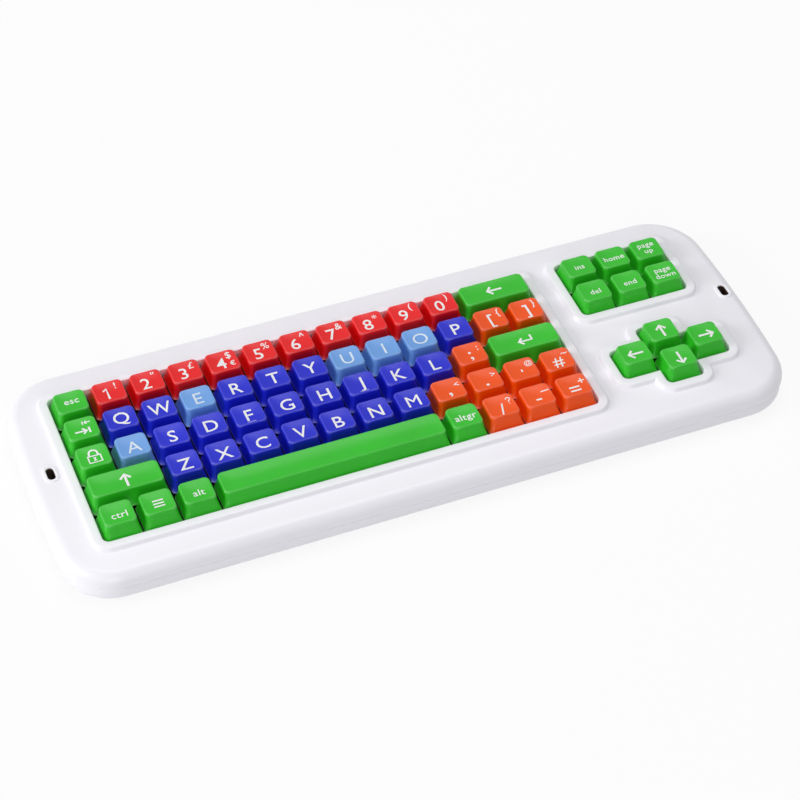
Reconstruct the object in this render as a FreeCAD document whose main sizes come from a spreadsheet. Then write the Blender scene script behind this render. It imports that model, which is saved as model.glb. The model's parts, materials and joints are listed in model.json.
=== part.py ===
import FreeCAD, Part
import os
import re
import Sketcher

# Large-key children's keyboard: a white two-shell case with three rimmed wells,
# sixty-seven coloured keys guided in one plate, and a cell bay between the wells.
# Frame: X to the right, Y to the back, Z up; the origin is on the table, below the
# middle of the case.  Lengths are in millimetres.

Vector = FreeCAD.Vector
doc = FreeCAD.newDocument("keyboard")

# Driving dimensions, one cell each
SIZES = {
    # key grid and its wells
    "key_pitch": 25.0,
    "well_margin": 13.0,
    "well_corner": 4.0,
    "left_margin": 29.5,
    "right_margin": 31.5,
    "front_margin": 27.25,
    "back_margin": 24.75,
    "arrow_lift": 1.25,
    "arrow_spread": 0.75,
    # case shells
    "case_wall": 2.5,
    "upper_height": 10.0,
    "front_corner": 33.0,
    "back_corner": 37.0,
    "side_radius": 950.0,
    "case_bow": 1.8,
    "room_corner": 29.0,
    "upper_edge": 8.0,
    "upper_step": 3.3,
    "lower_edge": 4.0,
    "lower_step": 2.5,
    "parting_step": 0.4,
    "rim_height": 2.5,
    "rim_flat": 5.2,
    "rim_slope": 2.8,
    "skirt_wall": 2.0,
    # keyguard slots
    "slot_width": 5.0,
    "slot_length": 10.0,
    "slot_corner": 1.5,
    "slot_left_inset": 15.4,
    "slot_right_inset": 10.0,
    "slot_back": 5.25,
    "slot_ring": 2.4,
    "slot_ring_height": 0.8,
    "slot_tube": 1.5,
    "slot_gap": 0.3,
    # key caps
    "cap_gap": 2.4,
    "cap_height": 11.5,
    "cap_side_slope": 2.4,
    "cap_front_slope": 3.7,
    "cap_back_slope": 1.9,
    "cap_corner": 2.2,
    "cap_edge": 1.0,
    "cap_wall": 1.5,
    "cap_roof": 2.2,
    "key_travel": 4.0,
    "press_gap": 1.0,
    # key guides, plate, contact mat and board
    "stem_width": 6.0,
    "stem_depth": 4.0,
    "stem_drop": 5.5,
    "slide_gap": 0.3,
    "guide_wall": 1.6,
    "guide_rise": 5.2,
    "plate_depth": 7.0,
    "plate_thickness": 1.5,
    "plate_side_inset": 23.0,
    "plate_end_inset": 8.0,
    "plate_corner": 9.0,
    "mat_gap": 0.3,
    "mat_thickness": 1.6,
    "board_thickness": 1.6,
    "board_edge": 9.65,
    "board_rest": 6.0,
    "radio_width": 22.0,
    "radio_depth": 16.0,
    "radio_height": 1.8,
    # cell and its bay
    "cell_diameter": 14.5,
    "cell_length": 49.5,
    "cell_nub": 5.5,
    "cell_nub_height": 1.0,
    "cell_gap": 0.25,
    "cell_lift": 0.7,
    "cell_headroom": 1.2,
    "contact_thickness": 0.5,
    "contact_reach": 4.0,
    "contact_width": 11.0,
    "spring_base": 8.8,
    "bump_base": 5.6,
    "contact_tip": 4.0,
    "bay_wall": 1.5,
    "bay_gap": 0.5,
    "bay_height": 11.0,
    "door_recess": 1.6,
    "door_lap": 2.4,
    "door_gap": 0.25,
    "door_thickness": 1.3,
    "door_knuckle": 0.38,
    # underside
    "foot_height": 1.5,
    "foot_seat": 0.8,
    "foot_length": 22.0,
    "foot_width": 10.0,
    "foot_corner": 3.0,
    "foot_side_inset": 31.0,
    "foot_end_inset": 15.0,
    "leg_spread": 150.0,
    "leg_width": 28.0,
    "leg_length": 13.5,
    "leg_thickness": 5.0,
    "leg_knuckle": 1.46,
    "leg_inset": 9.8,
    "leg_gap": 0.3,
    "leg_wall": 1.8,
    "leg_pin": 3.0,
    "pin_gap": 0.08,
    "switch_x": 168.0,
    "switch_y": 24.0,
    "switch_travel": 4.0,
    "thumb_length": 6.0,
    "thumb_width": 5.0,
    "thumb_recess": 1.0,
    "neck_length": 4.0,
    "neck_width": 2.4,
    "retainer_thickness": 1.2,
    # posts that clamp the plate between the shells
    "post_spacing": 185.0,
    "post_inset": 14.0,
    "post_width": 8.0,
}

# Sizes that follow from the driving ones
DERIVED = {
    "main_width": "12 * key_pitch + 2 * well_margin",
    "main_depth": "4 * key_pitch + 2 * well_margin",
    "side_width": "2 * key_pitch + 2 * well_margin",
    "bay_width": "cell_diameter + 2 * cell_gap",
    "bay_outer": "bay_width + 2 * bay_wall",
    "bay_length": "cell_length + cell_nub_height + 2 * (contact_thickness + contact_reach)",
    "well_spacing": "bay_outer + 2 * bay_gap + 2 * skirt_wall",
    "case_width": "left_margin + main_width + well_spacing + side_width + right_margin",
    "case_depth": "front_margin + main_depth + back_margin",
    "first_column": "left_margin + well_margin - case_width / 2",
    "first_row": "case_depth / 2 - back_margin - well_margin",
    "bay_x": "first_column + 12 * key_pitch + well_margin + well_spacing / 2",
    "side_column": "bay_x + well_spacing / 2 + well_margin",
    "arrow_up": "first_row - 3 * key_pitch + arrow_lift",
    "arrow_down": "arrow_up - key_pitch - arrow_spread",
    "arrow_middle": "(arrow_up + arrow_down) / 2",
    "floor_top": "foot_height + case_wall",
    "cell_base": "foot_height + door_recess + cell_lift",
    "ceiling": "cell_base + cell_diameter + cell_headroom",
    "case_top": "ceiling + case_wall",
    "parting": "case_top - upper_height",
    "rim_reach": "rim_flat + rim_slope",
    "plate_top": "case_top - plate_depth",
    "plate_base": "plate_top - plate_thickness",
    "plate_width": "case_width - 2 * plate_side_inset",
    "plate_length": "case_depth - 2 * plate_end_inset",
    "guide_top": "plate_top + guide_rise",
    "board_back": "first_row + board_edge",
    "board_front": "first_row - 4 * key_pitch - board_edge",
    "board_left": "first_column - board_edge",
    "board_right": "side_column + 2 * key_pitch + board_edge",
    "cap_side": "key_pitch - cap_gap",
    "cap_top_depth": "cap_side - cap_front_slope - cap_back_slope",
    "cap_top_shift": "(cap_front_slope - cap_back_slope) / 2",
    "cap_base": "plate_top + key_travel + press_gap",
    "mat_top": "cap_base - stem_drop - key_travel - mat_gap",
    "board_top": "mat_top - mat_thickness",
    "board_base": "board_top - board_thickness",
    "leg_axis_y": "case_depth / 2 - leg_inset",
    "leg_axis_z": "foot_height + leg_gap + leg_thickness / 2",
    "leg_roof": "foot_height + leg_thickness + 2 * leg_gap",
    "foot_x": "case_width / 2 - foot_side_inset",
    "foot_y": "case_depth / 2 - foot_end_inset",
    "post_y": "case_depth / 2 - post_inset",
    "left_slot_x": "slot_left_inset - case_width / 2",
    "right_slot_x": "case_width / 2 - slot_right_inset",
}

sizes = doc.addObject("Spreadsheet::Sheet", "sizes")
for row, (alias, value) in enumerate(SIZES.items(), start=1):
    sizes.set(f"A{row}", alias)
    sizes.set(f"B{row}", str(value))
    sizes.setAlias(f"B{row}", alias)
doc.recompute()


def bound(text):
    """The expression that binds a property to the sheet, from plain size names."""
    def spell(match):
        word = match.group()
        if word in DERIVED:
            return f"({bound(DERIVED[word])})"
        return f"sizes.{word}" if word in SIZES else word
    return re.sub(r"[a-z_]+", spell, text)


def number(text):
    return float(sizes.evalExpression(bound(text)))


def place(thing, x="0", y="0", z="0", prop="Placement"):
    """Bind an object's position, or a sketch's offset from its plane, to the sheet."""
    for axis, text in zip("xyz", (x, y, z)):
        thing.setExpression(f"{prop}.Base.{axis}", bound(text))


def new_body(label):
    body = doc.addObject("PartDesign::Body", label)
    body.Label = label
    return body


def sketch_on(body, name, plane, x="0", y="0", z="0"):
    sketch = body.newObject("Sketcher::SketchObject", name)
    role = [feature for feature in body.Origin.OriginFeatures if feature.Role == plane]
    sketch.AttachmentSupport = [(role[0], "")]
    sketch.MapMode = "FlatFace"
    place(sketch, x, y, z, "AttachmentOffset")
    return sketch


def dimension(sketch, name, text, kind, *where):
    """A named dimension of a sketch, bound to the sheet."""
    index = sketch.addConstraint(Sketcher.Constraint(kind, *where, number(text)))
    sketch.renameConstraint(index, name)
    sketch.setExpression(f"Constraints.{name}", bound(text))


def tie(sketch, *constraints):
    for constraint in constraints:
        sketch.addConstraint(Sketcher.Constraint(*constraint))


def rectangle(sketch, width, depth):
    """A rectangle about the sketch's origin."""
    x = number(width) / 2
    y = number(depth) / 2
    corners = [Vector(-x, -y), Vector(x, -y), Vector(x, y), Vector(-x, y)]
    for index in range(4):
        sketch.addGeometry(Part.LineSegment(corners[index], corners[(index + 1) % 4]))
    for index in range(4):
        tie(sketch, ("Coincident", index, 2, (index + 1) % 4, 1))
        tie(sketch, ("Vertical" if index % 2 else "Horizontal", index))
    tie(sketch, ("Symmetric", 0, 1, 2, 1, -1, 1))
    dimension(sketch, "width", width, "DistanceX", 0, 1, 0, 2)
    dimension(sketch, "depth", depth, "DistanceY", 1, 1, 1, 2)


def cut_rectangle(sketch, width, depth, cut):
    """A rectangle about the sketch's origin with its corners cut at 45 degrees."""
    x = number(width) / 2
    y = number(depth) / 2
    c = number(cut)
    corners = [Vector(c - x, -y), Vector(x - c, -y), Vector(x, c - y), Vector(x, y - c),
               Vector(x - c, y), Vector(c - x, y), Vector(-x, y - c), Vector(-x, c - y)]
    for index in range(8):
        sketch.addGeometry(Part.LineSegment(corners[index], corners[(index + 1) % 8]))
    for index in range(8):
        tie(sketch, ("Coincident", index, 2, (index + 1) % 8, 1))
    for index in (0, 4):
        tie(sketch, ("Horizontal", index), ("Vertical", index + 2))
    for index in (1, 3, 5):
        tie(sketch, ("Equal", index, index + 2), ("Perpendicular", index, index + 2))
    tie(sketch, ("Symmetric", 0, 1, 4, 1, -1, 1))
    dimension(sketch, "width", width, "DistanceX", 6, 1, 2, 1)
    dimension(sketch, "depth", depth, "DistanceY", 0, 1, 4, 1)
    dimension(sketch, "cut_across", cut, "DistanceX", 1, 1, 1, 2)
    dimension(sketch, "cut_along", cut, "DistanceY", 1, 1, 1, 2)


def rounded_rectangle(sketch, width, depth, radius):
    """A rectangle about the sketch's origin with four equal corner arcs."""
    x = number(width) / 2
    y = number(depth) / 2
    r = number(radius)
    up = Vector(0, 0, 1)
    quarter = FreeCAD.Units.parseQuantity("90 deg").getValueAs("rad").Value
    sides = [
        (Vector(-x + r, -y), Vector(x - r, -y), Vector(x - r, -y + r)),
        (Vector(x, -y + r), Vector(x, y - r), Vector(x - r, y - r)),
        (Vector(x - r, y), Vector(-x + r, y), Vector(-x + r, y - r)),
        (Vector(-x, y - r), Vector(-x, -y + r), Vector(-x + r, -y + r)),
    ]
    for index, (start, end, centre) in enumerate(sides):
        sketch.addGeometry(Part.LineSegment(start, end))
        turn = (index - 1) * quarter
        sketch.addGeometry(Part.ArcOfCircle(Part.Circle(centre, up, r), turn, turn + quarter))
    for index in range(8):
        tie(sketch, ("Tangent", index, 2, (index + 1) % 8, 1))
    for index in (0, 4):
        tie(sketch, ("Horizontal", index), ("Vertical", index + 2))
    for index in (3, 5, 7):
        tie(sketch, ("Equal", 1, index))
    tie(sketch, ("Symmetric", 0, 1, 4, 1, -1, 1))
    dimension(sketch, "width", width, "DistanceX", 7, 1, 1, 2)
    dimension(sketch, "depth", depth, "DistanceY", 1, 1, 3, 2)
    dimension(sketch, "radius", radius, "Radius", 1)


def circles(sketch, diameter, centres):
    for index, (x, y) in enumerate(centres):
        middle = Vector(number(x), number(y))
        circle = sketch.addGeometry(Part.Circle(middle, Vector(0, 0, 1), number(diameter) / 2))
        dimension(sketch, f"diameter_{index}", diameter, "Diameter", circle)
        dimension(sketch, f"across_{index}", x, "DistanceX", -1, 1, circle, 3)
        dimension(sketch, f"along_{index}", y, "DistanceY", -1, 1, circle, 3)


def raise_from(body, name, sketch, height, taper=None):
    pad = body.newObject("PartDesign::Pad", name)
    pad.Profile = sketch
    pad.setExpression("Length", bound(height))
    if taper:
        pad.setExpression("TaperAngle", bound(taper))
    sketch.Visibility = False
    doc.recompute()
    return pad


def cut_from(body, name, sketch, height):
    """A pocket that rises from its sketch, and must take material away."""
    before = body.Shape.Volume
    pocket = body.newObject("PartDesign::Pocket", name)
    pocket.Profile = sketch
    pocket.Reversed = True
    pocket.setExpression("Length", bound(height))
    sketch.Visibility = False
    doc.recompute()
    if pocket.Shape.Volume >= before:
        raise RuntimeError(f"{body.Label}: {name} cuts nothing")
    return pocket


def block(body, name, at, size, z, height, radius=None, corner_cut=None, cut=False, taper=None):
    """A pad or pocket whose outline is a rectangle with plain, rounded or cut corners."""
    sketch = sketch_on(body, f"{name}_outline", "XY_Plane", at[0], at[1], z)
    if radius:
        rounded_rectangle(sketch, size[0], size[1], radius)
    elif corner_cut:
        cut_rectangle(sketch, size[0], size[1], corner_cut)
    else:
        rectangle(sketch, size[0], size[1])
    if cut:
        return cut_from(body, name, sketch, height)
    return raise_from(body, name, sketch, height, taper)


def box(name, at, size, z, height):
    """An upright box about a point."""
    made = doc.addObject("Part::Box", name)
    made.setExpression("Length", bound(size[0]))
    made.setExpression("Width", bound(size[1]))
    made.setExpression("Height", bound(height))
    place(made, f"{at[0]} - ({size[0]}) / 2", f"{at[1]} - ({size[1]}) / 2", z)
    return made


def wedge(body, kind, name, foot, crown, shift, height):
    """A four-sided taper on Z = 0 whose top is set back by a shift."""
    taper = body.newObject(f"PartDesign::{kind}", name)
    taper.Placement.Rotation = FreeCAD.Rotation(Vector(1, 0, 0), 90)
    for axis, width, back in (("X", foot[0], "0"), ("Z", foot[1], "0"),
                              ("X2", crown[0], "0"), ("Z2", crown[1], shift)):
        taper.setExpression(f"{axis}min", bound(f"-({width}) / 2 - {back}"))
        taper.setExpression(f"{axis}max", bound(f"({width}) / 2 - {back}"))
    taper.Ymin = 0
    taper.setExpression("Ymax", bound(height))
    doc.recompute()
    return taper


def edges_of(feature, test):
    return [f"Edge{index}" for index, edge in enumerate(feature.Shape.Edges, start=1) if test(edge)]


def at_height(z):
    """A test for edges that lie at one height."""
    return lambda edge: all(abs(vertex.Z - z) < 1e-4 for vertex in edge.Vertexes)


def soften(body, kind, name, feature, edges, prop, size):
    dressed = body.newObject(f"PartDesign::{kind}", name)
    dressed.Base = (feature, edges)
    dressed.setExpression(prop, bound(size))
    doc.recompute()
    return dressed


def copy_of(master, name, x="0", y="0", z="0"):
    copy = doc.addObject("Part::Compound", name)
    copy.Links = [master]
    place(copy, x, y, z)
    return copy


def group_of(name, members):
    group = doc.addObject("Part::Compound", name)
    group.Label = name
    group.Links = members
    return group


# Outline of the case: straight front and back, gently bowed ends, large tangent corners

def case_outline(sketch, inset):
    width = number(f"case_width - 2 * {inset}")
    depth = number(f"case_depth - 2 * {inset}")
    front = number(f"front_corner - {inset}")
    back = number(f"back_corner - {inset}")
    side = number("side_radius")
    up = Vector(0, 0, 1)
    middle = Vector(width / 2 - side, 0)
    front_x = middle.x + ((side - front) ** 2 - (depth / 2 - front) ** 2) ** 0.5
    back_x = middle.x + ((side - back) ** 2 - (depth / 2 - back) ** 2) ** 0.5
    front_at = Vector(front_x, front - depth / 2)
    back_at = Vector(back_x, depth / 2 - back)
    east = Vector(1, 0, 0)
    half_turn = east.getAngle(-east)
    low = -(front_at - middle).getAngle(east)
    high = (back_at - middle).getAngle(east)

    def arc(centre, radius, start, end):
        sketch.addGeometry(Part.ArcOfCircle(Part.Circle(centre, up, radius), start, end))

    def mirrored(point):
        return Vector(-point.x, point.y)

    sketch.addGeometry(Part.LineSegment(Vector(-front_x, -depth / 2), Vector(front_x, -depth / 2)))
    arc(front_at, front, -half_turn / 2, low)
    arc(middle, side, low, high)
    arc(back_at, back, high, half_turn / 2)
    sketch.addGeometry(Part.LineSegment(Vector(back_x, depth / 2), Vector(-back_x, depth / 2)))
    arc(mirrored(back_at), back, half_turn / 2, half_turn - high)
    arc(mirrored(middle), side, half_turn - high, half_turn - low)
    arc(mirrored(front_at), front, half_turn - low, 1.5 * half_turn)
    for index in range(8):
        tie(sketch, ("Tangent", index, 2, (index + 1) % 8, 1))
    tie(sketch, ("Symmetric", 0, 1, 0, 2, -2), ("Symmetric", 4, 1, 4, 2, -2))
    tie(sketch, ("Equal", 1, 7), ("Equal", 2, 6), ("Equal", 3, 5))
    tie(sketch, ("PointOnObject", 2, 3, -1))
    dimension(sketch, "front_radius", f"front_corner - {inset}", "Radius", 1)
    dimension(sketch, "side_radius", "side_radius", "Radius", 2)
    dimension(sketch, "back_radius", f"back_corner - {inset}", "Radius", 3)
    dimension(sketch, "front_y", f"{inset} - case_depth / 2", "DistanceY", -1, 1, 0, 1)
    dimension(sketch, "back_y", f"case_depth / 2 - {inset}", "DistanceY", -1, 1, 4, 1)
    dimension(sketch, "side_x", f"case_width / 2 - {inset} - side_radius", "DistanceX", -1, 1, 2, 3)


def hollow_case(body, inset, z, height, outer, rooms):
    """A moulded half of the case: its outline, a softened outer edge, and a stepped room inside."""
    outline = sketch_on(body, "case_outline", "XY_Plane", z=z)
    case_outline(outline, inset)
    solid = raise_from(body, "case_block", outline, height)
    kind, prop, edge_z, size = outer
    soften(body, kind, "case_edge", solid, edges_of(solid, at_height(number(edge_z))), prop, size)
    for name, step, low, high in rooms:
        wall = f"({inset} + case_wall + {step})"
        block(body, name, ("0", "0"), (f"case_width - 2 * case_bow - 2 * {wall}", f"case_depth - 2 * {wall}"),
              low, f"{high} - ({low})", corner_cut="room_corner", cut=True)


SLOTS = [("left_slot", "left_slot_x"), ("right_slot", "right_slot_x")]
POSTS = [(f"{column} * post_spacing", y) for column in (-1, 0, 1) for y in ("-post_y", "post_y")]
LEGS = [("left", "-leg_spread"), ("right", "leg_spread")]
FEET = [(f"{x} * foot_x", f"{y} * foot_y") for x in (-1, 1) for y in (-1, 1)]

# Each well: its middle, width and depth.  The arrow keys share a cross of two wells.
WELLS = {
    "main": ("first_column + 6 * key_pitch", "first_row - 2 * key_pitch", "main_width", "main_depth"),
    "paging": ("side_column + key_pitch", "first_row - key_pitch / 2", "side_width",
               "key_pitch + 2 * well_margin"),
    "arrow_column": ("side_column + key_pitch", "arrow_middle", "2 * well_margin",
                     "arrow_up - arrow_down + 2 * well_margin"),
    "arrow_row": ("side_column + key_pitch", "arrow_middle", "side_width", "2 * well_margin"),
}


def make_top_case():
    body = new_body("top_case")
    hollow_case(body, "0", "parting", "upper_height", ("Fillet", "Radius", "case_top", "upper_edge"),
                [("lower_room", "0", "parting", "ceiling - upper_step"),
                 ("upper_room", "upper_step", "parting", "ceiling")])
    for name, (x, y, width, depth) in WELLS.items():
        block(body, f"{name}_rim", (x, y), (f"{width} + 2 * rim_reach", f"{depth} + 2 * rim_reach"),
              "case_top", "rim_height", "well_corner + rim_reach", taper="-atan(rim_slope / rim_height)")
    under = "case_top - case_wall / 2"
    for name, (x, y, width, depth) in WELLS.items():
        block(body, f"{name}_skirt", (x, y), (f"{width} + 2 * skirt_wall", f"{depth} + 2 * skirt_wall"),
              "plate_top", f"{under} - plate_top")
    for name, x in SLOTS:
        block(body, f"{name}_ring", (x, "slot_back"),
              ("slot_width + 2 * slot_ring", "slot_length + 2 * slot_ring"),
              under, f"case_top + slot_ring_height - ({under})", corner_cut="slot_corner + slot_ring / 2")
        block(body, f"{name}_tube", (x, "slot_back"),
              ("slot_width + 2 * slot_tube", "slot_length + 2 * slot_tube"),
              "foot_height", f"{under} - foot_height", corner_cut="slot_corner + slot_tube / 2")
    for index, post in enumerate(POSTS):
        block(body, f"post_{index}", post, ("post_width", "post_width"), "plate_top",
              f"{under} - plate_top")
    for name, (x, y, width, depth) in WELLS.items():
        block(body, f"{name}_well", (x, y), (width, depth), "plate_top - case_wall",
              "plate_depth + rim_height + 2 * case_wall", cut=True)
    for name, x in SLOTS:
        block(body, name, (x, "slot_back"), ("slot_width", "slot_length"), "foot_height - case_wall",
              "case_top + slot_ring_height + 2 * case_wall", corner_cut="slot_corner", cut=True)
    return body


BOARD_RESTS = [(x, y) for x in ("board_left + board_rest", "bay_x - key_pitch", "board_right - board_rest")
               for y in ("board_front + board_rest", "board_back - board_rest")]
LEG_Y = "leg_axis_y - (leg_length - leg_thickness / 2) / 2"


def make_bottom_case():
    body = new_body("bottom_case")
    hollow_case(body, "parting_step", "foot_height", "parting - foot_height",
                ("Chamfer", "Size", "foot_height", "lower_edge"),
                [("upper_room", "0", "floor_top + lower_step", "parting"),
                 ("lower_room", "lower_step", "floor_top", "parting")])
    inside = "floor_top - case_wall / 2"
    for index, post in enumerate(POSTS):
        block(body, f"post_{index}", post, ("post_width", "post_width"), inside, f"plate_base - ({inside})")
    for index, rest in enumerate(BOARD_RESTS):
        block(body, f"board_rest_{index}", rest, ("board_rest", "board_rest"), inside,
              f"board_base - ({inside})")
    block(body, "bay", ("bay_x", "0"), ("bay_outer", "bay_length + 2 * bay_wall"), inside,
          f"floor_top + bay_height - ({inside})")
    leg_room = ("leg_width + 2 * leg_gap", "leg_length + leg_thickness / 2 + 2 * leg_gap")
    for side, x in LEGS:
        block(body, f"{side}_leg_box", (x, LEG_Y), tuple(f"{room} + 2 * leg_wall" for room in leg_room),
              inside, f"leg_roof + leg_wall - ({inside})")
    below = "foot_height - case_wall"
    for side, x in LEGS:
        block(body, f"{side}_leg_pocket", (x, LEG_Y), leg_room, below, f"leg_roof - ({below})", cut=True)
        bore = sketch_on(body, f"{side}_leg_bore_circle", "YZ_Plane", "leg_axis_y", "leg_axis_z",
                         f"{x} - leg_width / 2 - leg_gap - 2 * leg_wall")
        circles(bore, "leg_pin + 2 * pin_gap", [("0", "0")])
        cut_from(body, f"{side}_leg_bore", bore, "leg_width + 2 * leg_gap + 4 * leg_wall")
    block(body, "bay_room", ("bay_x", "0"), ("bay_width", "bay_length"), below,
          f"floor_top + bay_height + case_wall - ({below})", cut=True)
    block(body, "door_seat", ("bay_x", "0"), ("bay_width + 2 * door_lap", "bay_length + 4 * door_lap"),
          below, f"foot_height + door_recess - ({below})", cut=True)
    for index, foot in enumerate(FEET):
        block(body, f"foot_seat_{index}", foot, ("foot_length", "foot_width"), below,
              f"foot_height + foot_seat - ({below})", corner_cut="foot_corner", cut=True)
    block(body, "thumb_recess", ("switch_x + switch_travel / 2", "switch_y"),
          ("thumb_length + switch_travel + 4 * slide_gap", "thumb_width + 4 * slide_gap"), below,
          f"foot_height + thumb_recess - ({below})", cut=True)
    block(body, "switch_slot", ("switch_x + switch_travel / 2", "switch_y"),
          ("neck_length + switch_travel + 2 * slide_gap", "neck_width + 2 * slide_gap"), below,
          f"floor_top + case_wall - ({below})", cut=True)
    for name, x in SLOTS:
        block(body, name, (x, "slot_back"),
              ("slot_width + 2 * slot_tube + 2 * slot_gap", "slot_length + 2 * slot_tube + 2 * slot_gap"),
              below, f"floor_top + case_wall - ({below})",
              corner_cut="slot_corner + slot_tube / 2", cut=True)
    return body


# Key caps: tapered hollow blocks with softened corners, on stems that slide in the plate

# Offsets of a cap's stems from its middle, in key pitches, for each width in units
STEMS = {1: [0], 2: [0], 6: [-2, 0, 2]}


def make_cap(units):
    body = new_body(f"cap_{units}_unit")
    wide = f"(cap_side + {units - 1} * key_pitch)"
    crown = f"({wide} - 2 * cap_side_slope)"
    cap = wedge(body, "AdditiveWedge", "cap_block", (wide, "cap_side"), (crown, "cap_top_depth"),
                "cap_top_shift", "cap_height")
    tall = number("cap_height / 2")
    slanted = edges_of(cap, lambda edge: abs(edge.Vertexes[0].Z - edge.Vertexes[1].Z) > tall)
    cut = soften(body, "Chamfer", "cap_corners", cap, slanted, "Size", "cap_corner")
    level = at_height(number("cap_height"))
    long_edges = edges_of(cut, lambda edge: level(edge) and edge.Length > number("cap_top_depth / 2"))
    soften(body, "Chamfer", "cap_edge", cut, long_edges, "Size", "cap_edge")
    wedge(body, "SubtractiveWedge", "cap_room", (f"{wide} - 2 * cap_wall", "cap_side - 2 * cap_wall"),
          (f"{crown} - 2 * cap_wall", "cap_top_depth - 2 * cap_wall"), "cap_top_shift",
          "cap_height - cap_roof")
    for index, offset in enumerate(STEMS[units]):
        block(body, f"stem_{index}", (f"{offset} * key_pitch", "0"), ("stem_width", "stem_depth"),
              "-stem_drop", "stem_drop + cap_height - cap_roof / 2")
    return body


# The key layout: name and width in units of each key, row by row from the back

MAIN_ROWS = [
    ["escape"] + [f"digit_{digit}" for digit in "1234567890"] + ["backspace*2"],
    ["tab"] + [f"letter_{letter}" for letter in "qwertyuiop"] + ["bracket_open", "bracket_close"],
    ["lock"] + [f"letter_{letter}" for letter in "asdfghjkl"] + ["semicolon", "enter*2"],
    ["shift*2"] + [f"letter_{letter}" for letter in "zxcvbnm"] + ["comma", "period", "quote", "hash"],
    ["control", "command", "alternate", "space*6", "alternate_right", "slash", "minus", "equals"],
]
PAGING_ROWS = [["insert", "home", "page_up"], ["delete", "end", "page_down"]]
ARROWS = {"arrow_up": (1, "arrow_up"), "arrow_left": (0, "arrow_middle"),
          "arrow_down": (1, "arrow_down"), "arrow_right": (2, "arrow_middle")}
DIGITS = [name for name in MAIN_ROWS[0] if name.startswith("digit")]
SIGNS = ["bracket_open", "bracket_close", "semicolon", "comma", "period", "quote", "hash",
         "slash", "minus", "equals"]
PAGING = [name for row in PAGING_ROWS for name in row]


def key_places():
    """Each key's name, width in units, and X and Y."""
    places = []
    for row, names in enumerate(MAIN_ROWS):
        column = 0
        for entry in names:
            name, _, width = entry.partition("*")
            units = int(width or 1)
            middle = column + (units - 1) / 2
            places.append((name, units, f"first_column + {middle} * key_pitch",
                           f"first_row - {row} * key_pitch"))
            column += units
    for row, names in enumerate(PAGING_ROWS):
        for column, name in enumerate(names):
            places.append((name, 1, f"side_column + {column} * key_pitch",
                           f"first_row - {row} * key_pitch"))
    for name, (column, y) in ARROWS.items():
        places.append((name, 1, f"side_column + {column} * key_pitch", y))
    return places


def make_keys():
    """Keys on their own nodes; digits, signs and paging keys are groups."""
    caps = {units: make_cap(units) for units in STEMS}
    keys = {}
    for name, units, x, y in key_places():
        keys[name] = copy_of(caps[units], f"key_{name}", x, y, "cap_base")
        keys[name].Label = f"key_{name}"
    groups = []
    for label, members in (("digit_keys", DIGITS), ("sign_keys", SIGNS), ("paging_keys", PAGING)):
        groups.append(group_of(label, [keys.pop(name) for name in members]))
    return groups + list(keys.values())


BAY_WINDOW = ("bay_outer + 2 * bay_gap", "bay_length + 2 * bay_wall + 2 * bay_gap")


def make_key_plate():
    """A stiff plate with a square guide tube for each stem and a window for the cell bay."""
    sheet = new_body("plate_sheet")
    block(sheet, "plate", ("0", "0"), ("plate_width", "plate_length"), "plate_base", "plate_thickness",
          corner_cut="plate_corner")
    below = "plate_base - plate_thickness"
    block(sheet, "bay_window", ("bay_x", "0"), BAY_WINDOW, below, "3 * plate_thickness", cut=True)
    guides = []
    sockets = []
    socket = ("stem_width + 2 * slide_gap", "stem_depth + 2 * slide_gap")
    guide = tuple(f"{side} + 2 * guide_wall" for side in socket)
    rooted = "plate_base + plate_thickness / 2"
    for name, units, x, y in key_places():
        for index, offset in enumerate(STEMS[units]):
            at = (f"{x} + {offset} * key_pitch", y)
            guides.append(box(f"guide_{name}_{index}", at, guide, rooted, f"guide_top - ({rooted})"))
            sockets.append(box(f"socket_{name}_{index}", at, socket, below, f"2 * guide_top - ({below})"))
    tubes = doc.addObject("Part::MultiFuse", "plate_with_guides")
    tubes.Shapes = [sheet] + guides
    plate = doc.addObject("Part::Cut", "key_plate")
    plate.Label = "key_plate"
    plate.Base = tubes
    plate.Tool = group_of("stem_sockets", sockets)
    return plate


def make_sheet(label, z, thickness):
    """A flat sheet under all the keys, cut out around the cell bay."""
    body = new_body(label)
    block(body, "sheet", ("(board_left + board_right) / 2", "(board_front + board_back) / 2"),
          ("board_right - board_left", "board_back - board_front"), z, thickness)
    block(body, "bay_window", ("bay_x", "0"), BAY_WINDOW, f"{z} - {thickness}", f"3 * {thickness}", cut=True)
    return body


def make_radio_module():
    body = new_body("radio_module")
    block(body, "can", ("first_column + 6 * key_pitch", "0"), ("radio_width", "radio_depth"),
          "board_base - radio_height", "radio_height")
    return body


# Cell, contacts, door and power slider

def make_battery_cell():
    """One round cell with a raised end towards the back."""
    can = doc.addObject("Part::Cylinder", "cell_can")
    can.setExpression("Radius", bound("cell_diameter / 2"))
    can.setExpression("Height", bound("cell_length"))
    nub = doc.addObject("Part::Cylinder", "cell_nub")
    nub.setExpression("Radius", bound("cell_nub / 2"))
    nub.setExpression("Height", bound("cell_length + cell_nub_height"))
    for piece in (can, nub):
        piece.Placement.Rotation = FreeCAD.Rotation(Vector(1, 0, 0), -90)
        place(piece, "bay_x", "-(cell_length + cell_nub_height) / 2", "cell_base + cell_diameter / 2")
    cell = doc.addObject("Part::Fuse", "battery_cell")
    cell.Label = "battery_cell"
    cell.Base = can
    cell.Tool = nub
    return cell


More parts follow.
